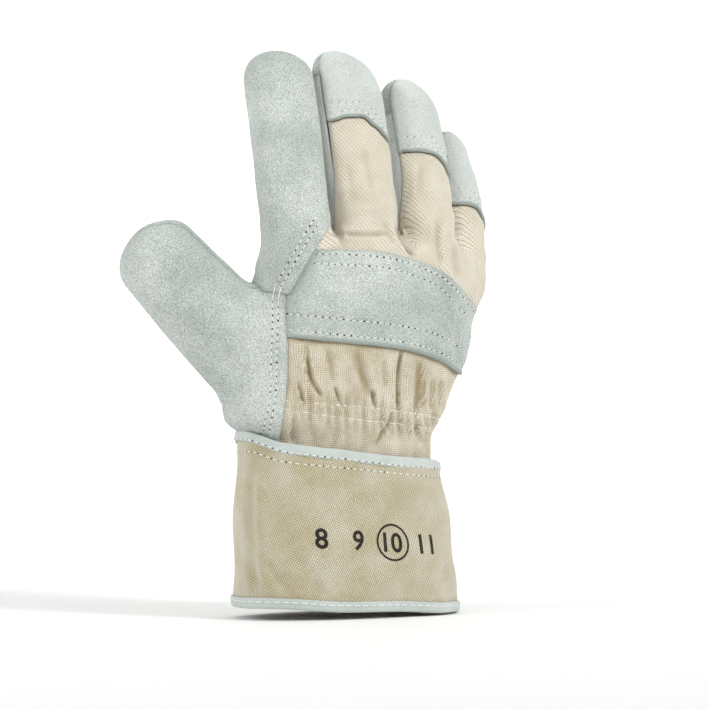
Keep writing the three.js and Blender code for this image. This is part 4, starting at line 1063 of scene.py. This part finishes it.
def shape_of(name, panel, m, p, normals, distance):
    """How high a panel lies over the net, how thick and dark it is there, and its stitch rows."""
    across, z = across_view(p), p[:, 2]
    on_back_side = smoothstep(-normals[:, 1], 0, 0.5)
    lap = np.abs(side_of(LAP_LINE, across, z))
    level = panel["level"] + UNREST * undulation(p, 17, 5) * smoothstep(distance, 0, 6)
    level -= on_back_side * grooves(HOLLOWS, across, z)
    wall, shade = np.full(len(p), float(panel["wall"])), SEAM_DARK * hill(distance, SEAM_DARK_WIDE)
    roll = panel["roll"] * hill(distance, ROLL_WIDE)
    rows, lip = [], 0
    if name in ("index_leather", "side_strip_index_middle"):
        # The two sides that face each other close the gap between first and middle finger.
        toward = normals[:, 0] if name == "index_leather" else -normals[:, 0]
        level += SIDES_CLOSER * smoothstep(toward, 0.3, 0.9) * smoothstep(z, 192, 235)
    if name in ("index_leather", "thumb_back_leather"):
        lapped = on_back_side * hill(above(lap, 2.5), 6) * (1 - smoothstep(z, 176, 190))
        level += LAP_HIGH * lapped - on_back_side * grooves(LEATHER_FOLDS, across, z, 0.3)
        wall -= LAP_THINNER * lapped
        roll *= 1 - lapped
        rows = [(lap, LAP_ROWS[0], z < 186), (lap, LAP_ROWS[1], z < 189)]
    if name == "index_leather":
        level += grooves(TAIL_RIDGE, across, z)
    if panel["slot"] == "cotton_drill":
        below_strap = smoothstep(np.minimum(m["strapFoot"], -m["strapHead"]), -0.5, 1.5)
        level -= COTTON_BELOW_STRAP * below_strap * hill(above(lap, 1), 6)
    if name == "back_lower_cotton":
        free = smoothstep(-most(m["back"], -m["index"], -m["thumb"], m["lowerLap"]), 1, 7)
        elastic = [side_of(row, across, z) for row in ELASTIC_ROWS]
        from_row = np.abs(elastic).min(0)
        phase = 2 * math.pi * across / PUCKER["pitch"] + 0.8 * undulation(p, 40, 8)
        near_rows = hill(most(elastic[0], -elastic[1], 0), PUCKER["spread"])
        near_rows *= 0.4 + 0.6 * smoothstep(from_row, 0, 1.8)
        pucker = PUCKER["deep"] * np.cos(phase) * near_rows
        folds = grooves(COTTON_FOLDS, across, z, 0.3)
        phase = 2 * math.pi * across / GATHER["pitch"] + 1.4 * undulation(p, 32, 11)
        gather = GATHER["deep"] * np.cos(phase) * smoothstep(-m["lowerLap"], 7, 20)
        sunk_folds = COTTON_FOLD_GAIN * folds * smoothstep(from_row, -2, 2)
        level -= free * (sunk_folds + gather + pucker + 0.4 * hill(from_row, 1.2))
        # Painted shade: the cloth is coloured darker in its folds, in the puckers' valleys and in the
        # gathers, and a painted shadow lies below the strap's lower edge.
        dark = np.clip(0.55 * above(folds) + 0.35 * pucker + 0.25 * gather, 0, 0.75)
        shade = most(shade, free * dark, 0.5 * hill(above(-m["strapFoot"]), 1.5))
    if name == "back_upper_cotton":
        free = smoothstep(-most(m["back"], -m["index"], -caps_of(m)), 0.5, 5)
        folds = grooves(UPPER_FOLDS, across, z, 0.4)
        level -= free * (UPPER_FOLD_GAIN * folds + UPPER_UNREST * undulation(p, 11, 9))
        # Painted shade in the folds above the strap.
        shade = most(shade, free * np.clip(0.35 * folds, 0, 0.6))
    if name == "knuckle_strap":
        free, head, foot = smoothstep(-m["back"], 0, 5), -m["strapHead"], m["strapFoot"]
        down = STRAP_SIDES_DOWN * (1 - free) + STRAP_DOWN_AT_LAP * free * hill(above(lap, 1), 5)
        level -= down + grooves(STRAP_FOLDS, across, z, 0.3)
        lip = free * hill(above(foot), 2.0, 4)
        seen = (m["back"] < -2) & (m["index"] > 0.5) & (m["thumb"] > 0.5)
        rows = [(head, row, seen) for row in STRAP_HEAD_ROWS]
        rows += [(foot, row, seen) for row in STRAP_FOOT_ROWS]
    if "lip" in panel:
        foot = m["foot_" + panel["lip"]]
        lip = smoothstep(-m["back"], 0, 4) * hill(above(foot), 1.4, 4)
        rows = [(foot, row, m["back"] < -2) for row in CAP_ROWS]
    level += LIP_HIGH * lip
    wall += LIP_HIGH * lip
    shade = most(shade * (1 - lip), 0.7 * lip)
    # Painted shade on the strap where it dips under the wing.
    if name == "knuckle_strap":
        shade = most(shade, 0.4 * free * hill(lap, 4))
    for field, row, _ in rows:
        level -= ROW_DEEP * hill(field - row, ROW_WIDE) * smoothstep(distance, 1, 3)
    if name == "back_lower_cotton":
        rows = [(row, 0, m["back"] < -2) for row in elastic]
    return level - roll * (1 - lip), wall, shade, rows


print("stitch rows along the strap:", len(STRAP_HEAD_ROWS + STRAP_FOOT_ROWS))

# %% Sewing the panels
ROUND_STEPS = (30, 60, 90)
SEAM_HALF = 0.04
BAND = 3.5
built = {}
for name, (panel, inside) in PANELS.items():
    patch, faces = take_patch(data, net_triangles, inside)
    if panel.get("fine"):
        patch, faces = refined(patch, faces)
        patch[:, :3] = settle(patch[:, :3], 1)
    place = patch[:, :3]
    normals = unit(slope_of(place))
    rim = rim_of(faces)
    distance, away_from_rim, loop = border_distance(place, normals, rim)
    level, wall, shade, stitch_rows = shape_of(name, panel, columns(patch), place, normals, distance)
    rounding = np.minimum(wall * panel["round"], wall / 2)
    drawn = (SEAM_HALF + rounding) * np.maximum(1 - distance / BAND, 0) ** 2
    outer = place + normals * level[:, None] + away_from_rim * drawn[:, None]
    up, radius, thick = normals[loop], rounding[loop, None], wall[loop, None]
    outward = (up * away_from_rim[loop]).sum(1)[:, None] * up - away_from_rim[loop]
    rows = []
    for lower, angle in [(0, a) for a in ROUND_STEPS] + [(1, a) for a in ROUND_STEPS[::-1]]:
        sine, drop = math.sin(math.radians(angle)), 1 - math.cos(math.radians(angle))
        down = thick - radius * drop if lower else radius * drop
        rows.append(outer[loop] + outward * radius * sine - up * down)
    count, border = len(outer), len(loop)
    row_of = np.full(count, -1)
    row_of[loop] = np.arange(border)
    inner_start = count + len(rows) * border
    between = np.arange(count, inner_start).reshape(len(rows), border)
    levels = [loop, *between, inner_start + loop]
    a, b = row_of[rim].T
    walls = [np.stack([over[b], over[a], under[a], under[b]], 1)
             for over, under in zip(levels, levels[1:])]
    built[name] = {
        "points": np.concatenate([outer, *rows, outer - normals * wall[:, None]]),
        "shade": np.concatenate([shade, *[shade[loop]] * len(rows), 0 * shade]),
        "triangles": np.concatenate([faces, faces[:, ::-1] + inner_start]),
        "walls": np.concatenate(walls),
        "sheet": (outer, vertex_normals(outer, faces), faces), "rows": stitch_rows, "loop": loop,
    }
    count = len(built[name]["triangles"]) + 2 * len(built[name]["walls"])
    print(name, count, "triangles, border", len(rim), "sides")

# %% [markdown]
# ## Laying the cloth flat
#
# The weave follows the cloth as it lay on the cutting table: so many millimetres round the hand or
# finger from its middle line, and so many along it. Half a section is walked once in small steps,
# and the distance walked to each direction is looked up from there. Where the fingers join the
# hand, their measures blend. Unwrapping in the editor would do it too, but it turns each finger's
# yarns its own way. With its flat coordinates each panel becomes an object of the scene.

# %% Flat coordinates and panel objects
WALK_STEPS = 400
HAND_FLATNESS, DIGIT_FLATNESS = 0.42, 0.8


def walk_table(power, ratio):
    """How far it is round a section of half width 1 from its middle line to each direction."""
    t = np.linspace(0, math.pi / 2, WALK_STEPS)
    x, y = np.sin(t) ** (2 / power), ratio * np.cos(t) ** (2 / power)
    return np.arctan2(x, y / ratio), walked_along(np.stack([x, y], 1))


HAND_WALK = walk_table(HAND_POWER, HAND_FLATNESS)
DIGIT_WALK = walk_table(DIGIT_POWER, DIGIT_FLATNESS)


def walked_round(place, walk):
    """Millimetres round a section from its middle line on the back."""
    turn = np.arctan2(np.abs(place["u"]) / place["half"], np.maximum(-place["v"] / place["deep"], 1e-3))
    walked = place["half"] * np.interp(turn, *walk) + above(np.abs(place["u"]), place["half"])
    return np.sign(place["u"]) * walked


def laid_flat(p):
    """Flat coordinates of the cloth, in millimetres, for points on the back."""
    hand = hand_place(p)
    parts = [(tube_distance(hand), walked_round(hand, HAND_WALK) + column(HAND, "x", p[:, 2]), p[:, 2])]
    for name in CAPS:
        digit, place = DIGITS[name], digit_place(p, DIGITS[name])
        root = digit["base"] - digit["deep"][0] * digit["palmward"]
        middle = walked_round(hand_place(root[None]), HAND_WALK) + column(HAND, "x", root[2])
        round_it = middle + walked_round(place, DIGIT_WALK)
        parts.append((tube_distance(place), round_it, root[2] + place["s"]))
    closest = least(*(distance for distance, _, _ in parts))
    weights = [np.exp((closest - distance) / 6)[:, None] for distance, _, _ in parts]
    flat = sum(weight * np.stack(part[1:], 1) for weight, part in zip(weights, parts))
    return flat / sum(weights)


def glove_piece(name, points, faces, material, smooth=True):
    """A piece of the glove from points in millimetres."""
    piece = mesh_object(name, points * MM, faces, smooth)
    piece.data.materials.append(material)
    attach(piece, "root")
    return piece


def sewn_object(name, points, faces, uv, material, shade=None, girth=0.0):
    """A piece with its shade and flat coordinates, which go on past the girth where it closes."""
    piece = glove_piece(name, points, faces, material)
    marks = piece.data.attributes.new("seam_dark_and_painted_shade", "FLOAT", "POINT")
    marks.data.foreach_set("value", np.zeros(len(points)) if shade is None else shade)
    corners = np.zeros(len(piece.data.loops), int)
    piece.data.loops.foreach_get("vertex_index", corners)
    uv = uv[corners]
    if girth:
        faces_uv = uv.reshape(-1, 4, 2)
        closing = np.ptp(faces_uv[..., 0], axis=1) > girth / 2
        faces_uv[..., 0] += girth * (closing[:, None] & (faces_uv[..., 0] < girth / 2))
    piece.data.uv_layers.new(name="cut").data.foreach_set("uv", uv.ravel())
    return piece


for name, row in built.items():
    (panel, _), (outer, *_) = PANELS[name], row["sheet"]
    flat = np.stack([across_view(outer), outer[:, 2]], 1)
    if panel["slot"] == "cotton_drill":
        flat = laid_flat(outer)
    uv = np.concatenate([flat, *[flat[row["loop"]]] * 2 * len(ROUND_STEPS), flat])
    faces = [*row["triangles"].tolist(), *row["walls"].tolist()]
    piece = sewn_object(name + "_sewn", row["points"], faces, uv, panel["material"], row["shade"])
    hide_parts(name)
print("panels:", len(built))

# %% [markdown]
# ## The cuff and its two bindings
#
# The cuff is a stiff canvas sleeve that widens towards the hem. Both its edges are bound with a
# tape folded over them and sewn through, so the tape shows as a smooth round band of five
# millimetres. Rings of points stacked from the hem to the top make both: the cuff as an outer and an
# inner wall, a binding as one closed section carried round the edge.

# %% Cuff shape
CUFF = {
    "z": [0, 20, 50, 66, 76],
    "x": [-0.4, -0.8, -2.2, -3.4, -4.2],
    "half": [57.6, 56.3, 54.4, 52.6, 51.2],
    "deep": [29.6, 29, 28, 27, 26.2],
}
CUFF_POWER, CUFF_RIPPLE, BINDING_HEIGHT, TAPE_BULGE = 2.4, 0.8, 5.2, 0.25
CANVAS_WALL, TAPE_WALL, LAYER_GAP = 1.2, 0.8, 0.15
THUMB_SIDE = {"rise": 4.5, "x": -57, "wide": 8}
CUFF_AROUND, CUFF_UP, TAPE_AROUND, ANGLE_STEPS = 340, 74, 420, 4000
CUFF_FOLDS = [
    ([(-45, 74), (-45.5, 40), (-41, 6)], 1.5, 5, 4), ([(-39, 27), (-33, 18), (-26, 10)], 1.5, 3, 4),
    ([(-51, 34), (-44, 18), (-38, 6)], 1.0, 3, 4), ([(-20, 64), (-8, 50)], 0.5, 5),
    ([(-30, 62), (-33, 34)], 0.9, 6, 5), ([(44, 22), (51, 6)], 0.9, 4),
    ([(-22, 30), (-12, 6)], 0.7, 5, 4),
]


def cuff_point(angle, share, out):
    """Points of the cuff: angle round it, share of its height, millimetres outside its form."""
    level = share * TOP_EDGE["z"]
    half, deep, middle = (column(CUFF, key, level) for key in ("half", "deep", "x"))
    c, s = np.cos(angle), np.sin(angle)
    x = half * np.sign(c) * np.abs(c) ** (2 / CUFF_POWER)
    y = deep * np.sign(s) * np.abs(s) ** (2 / CUFF_POWER)
    nx = np.sign(c) * np.abs(c) ** (2 - 2 / CUFF_POWER) / half
    ny = np.sign(s) * np.abs(s) ** (2 - 2 / CUFF_POWER) / deep
    ripple = CUFF_RIPPLE * (np.cos(3 * angle + 1.1) + 0.6 * np.cos(7 * angle)) * (1 - share)
    off = (out + ripple) / np.hypot(nx, ny)
    x, y = x + middle + nx * off, y + ny * off
    hem = HEM_EDGE["z"] + HEM_EDGE["per_x"] * x
    rise = THUMB_SIDE["rise"] * hill(x - THUMB_SIDE["x"], THUMB_SIDE["wide"])
    top = TOP_EDGE["z"] + TOP_EDGE["per_x"] * x + rise
    return np.stack([x, y, hem + (top - hem) * share], -1)


def cuff_outward(angle, share):
    return cuff_point(angle, share, 1) - cuff_point(angle, share, 0)


def even_angles(count, share=0.5):
    """Angles whose points stand evenly round the cuff."""
    fine = np.linspace(0, 2 * math.pi, ANGLE_STEPS + 1)
    walked = walked_along(cuff_point(fine, share, 0))
    return np.interp(np.linspace(0, walked[-1], count + 1)[:-1], walked, fine), walked[-1]


def cuff_out(angle, share):
    """How far soft folds push the canvas in or out."""
    p = cuff_point(angle, share, 0)
    unrest = undulation(p.reshape(-1, 3), 34, 3).reshape(angle.shape)
    soft = 0.5 * unrest * smoothstep(share, 0, 0.2) * smoothstep(1 - share, 0, 0.15)
    seen = smoothstep(-p[..., 1], 2, 12)
    folds = grooves(CUFF_FOLDS, across_view(p), p[..., 2], 0.35)
    return soft - seen * folds * smoothstep(share, 0.02, 0.2)


def carried_round(rings, along):
    """Points and faces of closed rings stacked into a closed skin, with their flat coordinates."""
    round_it = np.linspace(0, girth, rings.shape[1], endpoint=False)
    uv = np.stack(np.broadcast_arrays(round_it, along), -1)
    return rings.reshape(-1, 3), skin(*rings.shape[:2], closed=True), uv.reshape(-1, 2)


angles, girth = even_angles(CUFF_AROUND)
inset = (TAPE_WALL + LAYER_GAP + 0.1) / TOP_EDGE["z"]
A, S = np.meshgrid(angles, np.linspace(inset, 1 - inset, CUFF_UP))
outs = cuff_out(A, S)
walls = np.concatenate([cuff_point(A, S, outs), cuff_point(A, S, outs - CANVAS_WALL)[::-1]])
heights = np.concatenate([walls[:CUFF_UP, :, 2], walls[CUFF_UP - 1::-1, :, 2]])
points, faces, uv = carried_round(walls, heights)
piece = sewn_object("cuff_canvas", points, faces, uv, canvas, girth=girth)
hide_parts("cuff")
print("cuff:", len(faces), "faces, girth", round(girth), "mm")

# %% Bindings
def tape_section():
    """A hairpin over the canvas's edge: millimetres out from the middle of the canvas and up."""
    half = CANVAS_WALL / 2 + LAYER_GAP
    full = half + TAPE_WALL
    climb = [(BINDING_HEIGHT - full) * (k / 8 - 1) for k in range(8)]
    bulge = [TAPE_BULGE * (math.sin(math.pi * min(1, (k + 0.5) / 7.5)) - (k == 0)) for k in range(8)]
    section = [(full + out, rise) for out, rise in zip(bulge, climb)]
    section += [(full * math.cos(math.pi * k / 8), full * math.sin(math.pi * k / 8)) for k in range(9)]
    section += [(-full, rise) for rise in climb[::-1]] + [(-half, rise) for rise in climb]
    section += [(-half * math.cos(math.pi * k / 6), half * math.sin(math.pi * k / 6))
                for k in range(1, 6)]
    return np.array(section + [(half, rise) for rise in climb[::-1]]), half, full


def closed(line):
    return np.concatenate([line, line[:1]])


# Which ring of the section is sewn, and how much the tape's edge wanders up and out, in mm.
SEWN_RING = {True: 2, False: 4}
TAPE_LIFT, TAPE_PUSH, WAVE_RADIUS = 0.35, 0.25, 60
on_tape = {}
section, half, full = tape_section()
for top, name in ((True, "cuff_top_binding"), (False, "cuff_hem_binding")):
    angle, _ = even_angles(TAPE_AROUND, float(top))
    wave = np.stack([np.cos(angle), np.sin(angle), 0 * angle], 1) * WAVE_RADIUS
    lift, push = TAPE_LIFT * undulation(wave, 38, 21 + top), TAPE_PUSH * undulation(wave, 15, 31 + top)
    outward = cuff_outward(angle, float(top))
    out, rise = section.T[:, :, None]
    edge = cuff_point(angle, float(top), -CANVAS_WALL / 2)
    rings = edge + outward * (out + push * (out > half + 0.1))[..., None]
    rings[..., 2] += (1 if top else -1) * (rise - full + lift)
    points, faces, uv = carried_round(rings, walked_along(section)[:, None])
    piece = sewn_object(name + "_tape", points, faces if top else faces[:, ::-1], uv, tape, girth=girth)
    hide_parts(name)
    on_tape[top] = closed(rings[SEWN_RING[top]]), closed(outward)
    print(name, len(faces), "faces")

# %% [markdown]
# ## Size numbers
#
# Work gloves have their sizes stamped on the cuff in dark ink, with a ring round the glove's own.
# Ink has hardly any thickness, so each number is a skin of a tenth of a millimetre that follows the
# canvas. The outlines come from the editor's own plain lettering, split into small triangles so
# that they can bend. A stamp in the canvas's material would need a picture of the numbers.

# %% Size numbers
SIZES = {"numbers": ("8", "9", "10", "11"), "own": "10",
         "high": 9.5, "pitch": 19, "across": 14, "z": 34, "refined": 3}
OWN_RING = {"inner": 8.0, "outer": 9.0, "sides": 96}
INK = {"over": 0.1, "under": 0.15, "fatter": 0.018}


def number_outline(number):
    """A number's flat triangles, middled and as high as wanted."""
    curve = bpy.data.curves.new("number", "FONT")
    curve.body, curve.align_x, curve.offset = number, "CENTER", INK["fatter"]
    stamp = bpy.data.objects.new("number", curve)
    mesh = bpy.data.meshes.new_from_object(stamp)
    points = np.array([tuple(vertex.co) for vertex in mesh.vertices])[:, :2]
    faces = np.array([tuple(face.vertices) for face in mesh.polygons])
    bpy.data.objects.remove(stamp)
    bpy.data.curves.remove(curve)
    bpy.data.meshes.remove(mesh)
    low, high = points.min(0), points.max(0)
    return (points - (low + high) / 2) * SIZES["high"] / (high - low)[1], faces


def ring_outline():
    sides = OWN_RING["sides"]
    turn = np.linspace(0, 2 * math.pi, sides, endpoint=False)
    circle = np.stack([np.cos(turn), np.sin(turn)], 1)
    i = np.arange(sides)
    after = (i + 1) % sides
    halves = [i, i + sides, after + sides], [i, after + sides, after]
    faces = np.concatenate([np.stack(half, 1) for half in halves])
    return np.concatenate([OWN_RING["inner"] * circle, OWN_RING["outer"] * circle]), faces


arcs = np.arange(CUFF_AROUND) * girth / CUFF_AROUND
print_row = cuff_point(angles, SIZES["z"] / TOP_EDGE["z"], 0)
in_back = print_row[:, 1] > 0
print_arc = arcs[np.argmin(np.abs(across_view(print_row) - SIZES["across"]) + 1000 * in_back)]
stamps = [(number_outline(number), SIZES["refined"], i) for i, number in enumerate(SIZES["numbers"])]
stamps.append((ring_outline(), 0, SIZES["numbers"].index(SIZES["own"])))
print_points, print_faces, print_uv, start = [], [], [], 0
for (flat, faces), rounds, place in stamps:
    for _ in range(rounds):
        flat, faces = refined(flat, faces)
    arc = print_arc + flat[:, 0] + SIZES["pitch"] * (place - (len(SIZES["numbers"]) - 1) / 2)
    angle, share = np.interp(arc, arcs, angles), (SIZES["z"] + flat[:, 1]) / TOP_EDGE["z"]
    out = cuff_out(angle, share)
    layers = [cuff_point(angle, share, out + INK["over"]), cuff_point(angle, share, out - INK["under"])]
    (a, b), under = rim_of(faces).T, len(flat)
    walls = [np.stack([b, a, a + under], 1), np.stack([b, a + under, b + under], 1)]
    print_faces.append(np.concatenate([faces, faces[:, ::-1] + under, *walls]) + start)
    print_points += layers
    print_uv += [np.stack([arc, layers[0][:, 2]], 1)] * 2
    start += 2 * under
print_parts = (np.concatenate(part) for part in (print_points, print_faces, print_uv))
sewn_object("cuff_size_numbers", *print_parts, ink)
print("size numbers:", start, "points")

# %% [markdown]
# ## Stitches
#
# A lockstitch leaves short dashes of thread on the surface, with a needle hole at each end where it
# goes through. Here each is a small bead of thread that dips at both ends, set along a line found on
# the finished surface where a seam's distance has one value. The holes are dark lenses between the
# stitches: painted shadow where the thread goes into the goods. The thread is 0.42 mm thick and the
# pitch 3.4 mm, as on heavy gloves. The stitches of the elastic rows are longer and sink into the
# gathers, each by its own amount. Where the first finger's panel meets the wing, two long threads
# cross the seam.

# %% Lines on a sheet
def lines_where(sheet, value, keep):
    """The lines on a sheet where a value is 0, each as points with the sheet's direction."""
    points, facing, faces = sheet
    edges, which = edges_of(faces)
    a, b = edges.T
    crosses = ((value[a] < 0) != (value[b] < 0)) & keep[a] & keep[b]
    t = zero_between(value[a], value[b], crosses)[:, None]
    place, outward = points[a] + (points[b] - points[a]) * t, facing[a] + (facing[b] - facing[a]) * t
    cut = crosses[which]
    twice = cut.sum(1) == 2
    neighbours = {}
    for one, two in which[twice][cut[twice]].reshape(-1, 2).tolist():
        neighbours.setdefault(one, []).append(two)
        neighbours.setdefault(two, []).append(one)
    lines, seen = [], set()
    for start in sorted(neighbours, key=lambda edge: (len(neighbours[edge]), edge)):
        if start in seen:
            continue
        line = [start]
        seen.add(start)
        while following := [edge for edge in neighbours[line[-1]] if edge not in seen]:
            line.append(following[0])
            seen.add(following[0])
        lines.append((place[line], outward[line]))
    return lines


LINE_SMOOTHINGS, SHORTEST_LINE = 3, 6


def spaced(place, outward, pitch):
    """Even places along a line: middle, direction along it and direction off the surface."""
    for _ in range(LINE_SMOOTHINGS):
        place = np.concatenate([place[:1], (place[:-2] + 2 * place[1:-1] + place[2:]) / 4, place[-1:]])
    walked = walked_along(place)
    if walked[-1] < 2 * pitch:
        return (np.zeros((0, 3)),) * 3
    at = np.arange(pitch / 2, walked[-1] - pitch / 2, pitch)
    middle, ahead, normal = (np.stack([np.interp(where, walked, values) for values in source.T], 1)
                             for where, source in ((at, place), (at + pitch / 4, place), (at, outward)))
    normal = unit(normal)
    along = ahead - middle
    return middle, unit(along - (along * normal).sum(1)[:, None] * normal), normal


print("lines of up to", SHORTEST_LINE, "points are left out")

# %% Stitch shapes
STITCH = {"pitch": 3.4, "long": 2.2, "thick": 0.42, "lift": 0.12, "dip": 0.3}
CROSSING = {"from_end": 3, "thick": 0.55, "lift": 0.45, "dip": 0.4}
HOLE_DEEP, HOLE_LIFT = 0.12, 0.02
BEAD_SECTIONS = np.array([-1, -0.85, -0.45, 0, 0.45, 0.85, 1])
BEAD_FATNESS = np.array([0.45, 0.8, 1, 1, 1, 0.8, 0.45])
BEAD_SIDES, LENS_SIDES = 6, 8


def copies(points, faces):
    """Many small solids of the same faces as one, from points by solid."""
    count, size = points.shape[:2]
    all_faces = [tuple(n * size + i for i in face) for n in range(count) for face in faces]
    return points.reshape(-1, 3), all_faces


def beads(middle, along, normal, row):
    """Closed beads of thread that dip into the surface at both ends."""
    across, last = np.cross(along, normal), (len(BEAD_SECTIONS) - 1) * BEAD_SIDES
    fat, high = BEAD_FATNESS * row["thick"] / 2, row["lift"] - row["dip"] * np.abs(BEAD_SECTIONS) ** 2.5
    sunk = row.get("uneven", 0) * np.random.RandomState(5).uniform(0, 1, (len(middle), 1)) ** 2
    middle = middle - normal * sunk
    turn = 2 * math.pi * np.arange(BEAD_SIDES) / BEAD_SIDES
    points = np.stack([
        middle + along * s * row["long"] / 2 + normal * h
        + f * (across * math.cos(one) + normal * math.sin(one))
        for s, h, f in zip(BEAD_SECTIONS, high, fat) for one in turn
    ], 1)
    ends = [range(BEAD_SIDES), range(last + BEAD_SIDES - 1, last - 1, -1)]
    return copies(points, [*skin(len(BEAD_SECTIONS), BEAD_SIDES)[:, ::-1].tolist(), *ends])


def lenses(middle, along, normal, radius):
    """Closed dark lenses that lie in the surface: painted shadow in the needle holes."""
    across, turns = np.cross(along, normal), 2 * math.pi * np.arange(LENS_SIDES) / LENS_SIDES
    size = radius * np.random.RandomState(12).uniform(0.55, 1.15, (len(middle), 1))
    ring = [middle + size * (1.3 * along * math.cos(t) + across * math.sin(t)) for t in turns]
    points = np.stack([*ring, middle + normal * HOLE_DEEP, middle - normal * HOLE_DEEP], 1)
    sides = [(j, (j + 1) % LENS_SIDES) for j in range(LENS_SIDES)]
    upper, lower = [(LENS_SIDES, b, a) for a, b in sides], [(LENS_SIDES + 1, a, b) for a, b in sides]
    return copies(points, upper + lower)


print("a stitch:", STITCH["long"], "mm of every", STITCH["pitch"], "mm,", STITCH["thick"], "mm thick")

# %% Thread and needle holes
thread, tree, place = new_material("cotton_thread_waxed")
twist = node(tree, "TexNoise", {"Vector": place, "Scale": 1 / (0.5 * MM), "Detail": 2})
strand = node(tree, "Mix", {0: twist, 6: colour("#DCDDD6"), 7: colour("#F4F4F0")}, **BLEND)
bump = node(tree, "Bump", {"Height": twist, "Strength": 0.5, "Distance": 0.15 * MM})
fill(tree, tree.nodes["Principled BSDF"], {
    "Base Color": strand, "Normal": bump, "Roughness": 0.7, "IOR": 1.5})

# Painted shadow in the needle holes, mottled a little.
hole, tree, place = new_material("needle_hole_shadow")
shadow_mottle = node(tree, "TexNoise", {"Vector": place, "Scale": 1 / (0.3 * MM), "Detail": 1})
dark = node(tree, "Mix", {0: shadow_mottle, 6: colour("#2E3331"), 7: colour("#474D4A")}, **BLEND)
fill(tree, tree.nodes["Principled BSDF"], {"Base Color": dark, "Roughness": 1.0})
print("sewing:", thread.name, hole.name)

# %% Stitch rows
CUFF_ROW_BELOW_TOP = 8.8
ROWS = {
    "leather": {**STITCH, "hole": 0.44},
    "caps": {**STITCH, "thick": 0.36, "lift": 0.08, "hole": 0.26},
    "gather_upper": {**STITCH, "pitch": 3.8, "long": 2.4, "lift": 0.2, "uneven": 0.7},
    "gather_lower": {**STITCH, "pitch": 4.9, "long": 3.8, "lift": 0.25, "dip": 0.5, "uneven": 0.8},
    "cuff": {**STITCH, "pitch": 3.6, "hole": 0.4},
    "hem": {**STITCH, "pitch": 4.4, "long": 3.4, "lift": 0.2},
}
found = {(name, i): lines_where(row["sheet"], value - level, keep)
         for name, row in built.items() for i, (value, level, keep) in enumerate(row["rows"])}
lines = {group: [] for group in ROWS}
for (name, i), row_lines in found.items():
    group = "caps" if "cap" in name else "leather"
    if name == "back_lower_cotton":
        group = ("gather_upper", "gather_lower")[i]
    lines[group] += row_lines
share = 1 - CUFF_ROW_BELOW_TOP / TOP_EDGE["z"]
below_tape = cuff_point(angles, share, cuff_out(angles, share))
lines["cuff"] = [(closed(below_tape), closed(cuff_outward(angles, share))), on_tape[True]]
lines["hem"] = [on_tape[False]]


def near_end(name, i, end):
    """A place near a row's lower (-1) or upper (1) end, and the surface's direction there."""
    place, outward = max(found[name, i], key=lambda line: len(line[0]))
    last = place[(end * place[:, 2]).argmax()]
    at = np.abs(lengths(place - last) - CROSSING["from_end"]).argmin()
    return place[at], outward[at]


crossing = np.array([[near_end("index_leather", i, -1), near_end("thumb_back_leather", i, 1)]
                     for i in (0, 1)])
apart = crossing[:, 1, 0] - crossing[:, 0, 0]
long = lengths(apart)[:, None]
places_between, normal = crossing[:, :, 0].mean(1), unit(crossing[:, :, 1].mean(1))
long_beads = beads(places_between, apart / long, normal, {**CROSSING, "long": long})
glove_piece("stitches_crossing", *long_beads, thread)
print("crossing threads:", long.ravel().round(1), "mm")
for group, row in ROWS.items():
    rows = [spaced(*line, row["pitch"]) for line in lines[group] if len(line[0]) > SHORTEST_LINE]
    middle, along, normal = (np.concatenate(part) for part in zip(*rows))
    glove_piece(f"stitches_{group}", *beads(middle, along, normal, row), thread)
    if "hole" in row:
        between = middle + along * row["pitch"] / 2 + normal * HOLE_LIFT
        spots = lenses(between, along, normal, row["hole"])
        glove_piece(f"needle_hole_shadows_{group}", *spots, hole, smooth=False)
    print(group, len(middle), "stitches")
